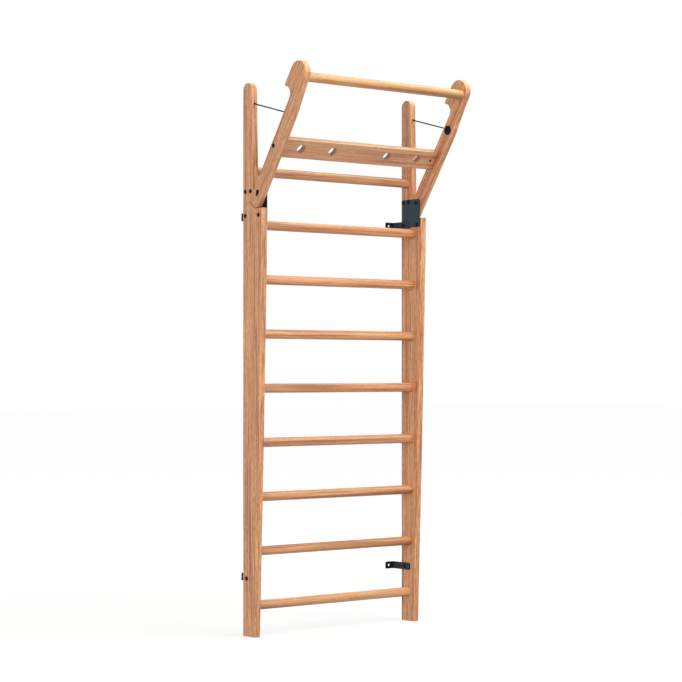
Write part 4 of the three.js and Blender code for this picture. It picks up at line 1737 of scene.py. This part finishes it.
@dataclass
class Studio:
    """A pale floor, soft light from all sides, and the camera."""

    lamps: Sequence[Lamp] = (
        Lamp("key", (0.9, -3.7, 3.8), 3.0, 125.0),
        Lamp("fill", (-6.0, -2.6, 1.8), 3.0, 160.0),
        Lamp("high", (1.45, -0.5, 3.8), 1.4, 25.0, target=(0.0, -0.4, 2.1), colour=(0.76, 1.0, 0.66)),
        Lamp("rear", (2.4, 4.4, 2.2), 3.0, 70.0),
    )
    camera_place: Sequence[float] = (-4.868, -6.145, 0.982)
    camera_turn: float = math.radians(-39)
    camera_lens: float = 106.73
    camera_shift: float = 0.0465
    sensor_width: float = 36.0
    sky_light: float = 0.40
    floor_size: float = 40.0
    floor_colour: Colour = (0.36, 0.36, 0.36)
    near_glow: float = 0.69
    far_glow: float = 0.84
    glow_band: Band = (0.8, 5.0)

    def build(self) -> None:
        """Makes the floor, the lights and the camera."""
        self._build_world()
        self._build_floor()
        for lamp in self.lamps:
            lamp.build()
        self._build_camera()
        bpy.context.scene.view_settings.view_transform = "Standard"

    def _build_world(self) -> None:
        """Lights from all round, and shows white behind the object and in its reflections."""
        world = bpy.data.worlds.new("studio")
        shader = Shader(world)
        strength = self.sky_light + self._seen(shader) * (1.0 - self.sky_light)
        sockets = {"Color": (1.0, 1.0, 1.0, 1.0), "Strength": strength}
        shader.add_output("ShaderNodeOutputWorld", shader.add("ShaderNodeBackground", sockets=sockets))
        bpy.context.scene.world = world

    @staticmethod
    def _seen(shader: Shader) -> Signal:
        """One where the camera looks, straight or by a reflection, and zero where light only bounces.

        Args:
            shader: The nodes to add it to.

        Returns:
            The signal.
        """
        seen = shader.add("ShaderNodeLightPath", output="Is Camera Ray")
        for ray in ("Is Glossy Ray", "Is Transmission Ray"):
            seen = seen.greater(shader.add("ShaderNodeLightPath", output=ray))
        return seen

    def _build_floor(self) -> None:
        """Makes the floor, nearly white and dimmed only where the object shades it."""
        mesh = bmesh.new()
        bmesh.ops.create_grid(mesh, x_segments=1, y_segments=1, size=self.floor_size)
        data = bpy.data.meshes.new("floor")
        mesh.to_mesh(data)
        mesh.free()
        shader = Shader(bpy.data.materials.new("pale_floor"))
        distance = shader.add("ShaderNodeVectorMath", {"operation": "LENGTH"}, {0: shader.point()}, "Value")
        glow = self.near_glow + distance.ramp(*self.glow_band) * (self.far_glow - self.near_glow)
        sockets = {
            "Base Color": (*self.floor_colour, 1.0),
            "Roughness": 0.9,
            "Specular IOR Level": 0.0,
            "Emission Color": self._seen(shader) * glow,
            "Emission Strength": 1.0,
        }
        data.materials.append(shader.surface(sockets))
        floor = bpy.data.objects.new("floor", data)
        bpy.context.scene.collection.objects.link(floor)

    def _build_camera(self) -> None:
        """Makes the camera, level and looking in from the front left."""
        data = bpy.data.cameras.new("camera")
        data.sensor_width = self.sensor_width
        data.lens = self.camera_lens
        data.shift_y = self.camera_shift
        camera = bpy.data.objects.new("camera", data)
        camera.location = self.camera_place
        camera.rotation_euler = (QUARTER, 0.0, self.camera_turn)
        bpy.context.scene.collection.objects.link(camera)
        bpy.context.scene.camera = camera


def main() -> None:
    """Builds the wall bars and the studio."""
    logging.basicConfig(level=logging.INFO, format="%(name)s: %(message)s")
    layout = Layout()
    finishes = Finishes()
    Ladder(layout, finishes).build()
    for side in Side:
        HingeHardware(layout, finishes, side).build()
    pull_up_frame = PullUpFrame(layout, finishes)
    pull_up_frame.build()
    for side in Side:
        StayCable(layout, finishes, side, pull_up_frame.stop_face).build()
    Studio().build()
    logger.info("%d nodes dressed", len(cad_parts))


if __name__ == "__main__":
    main()
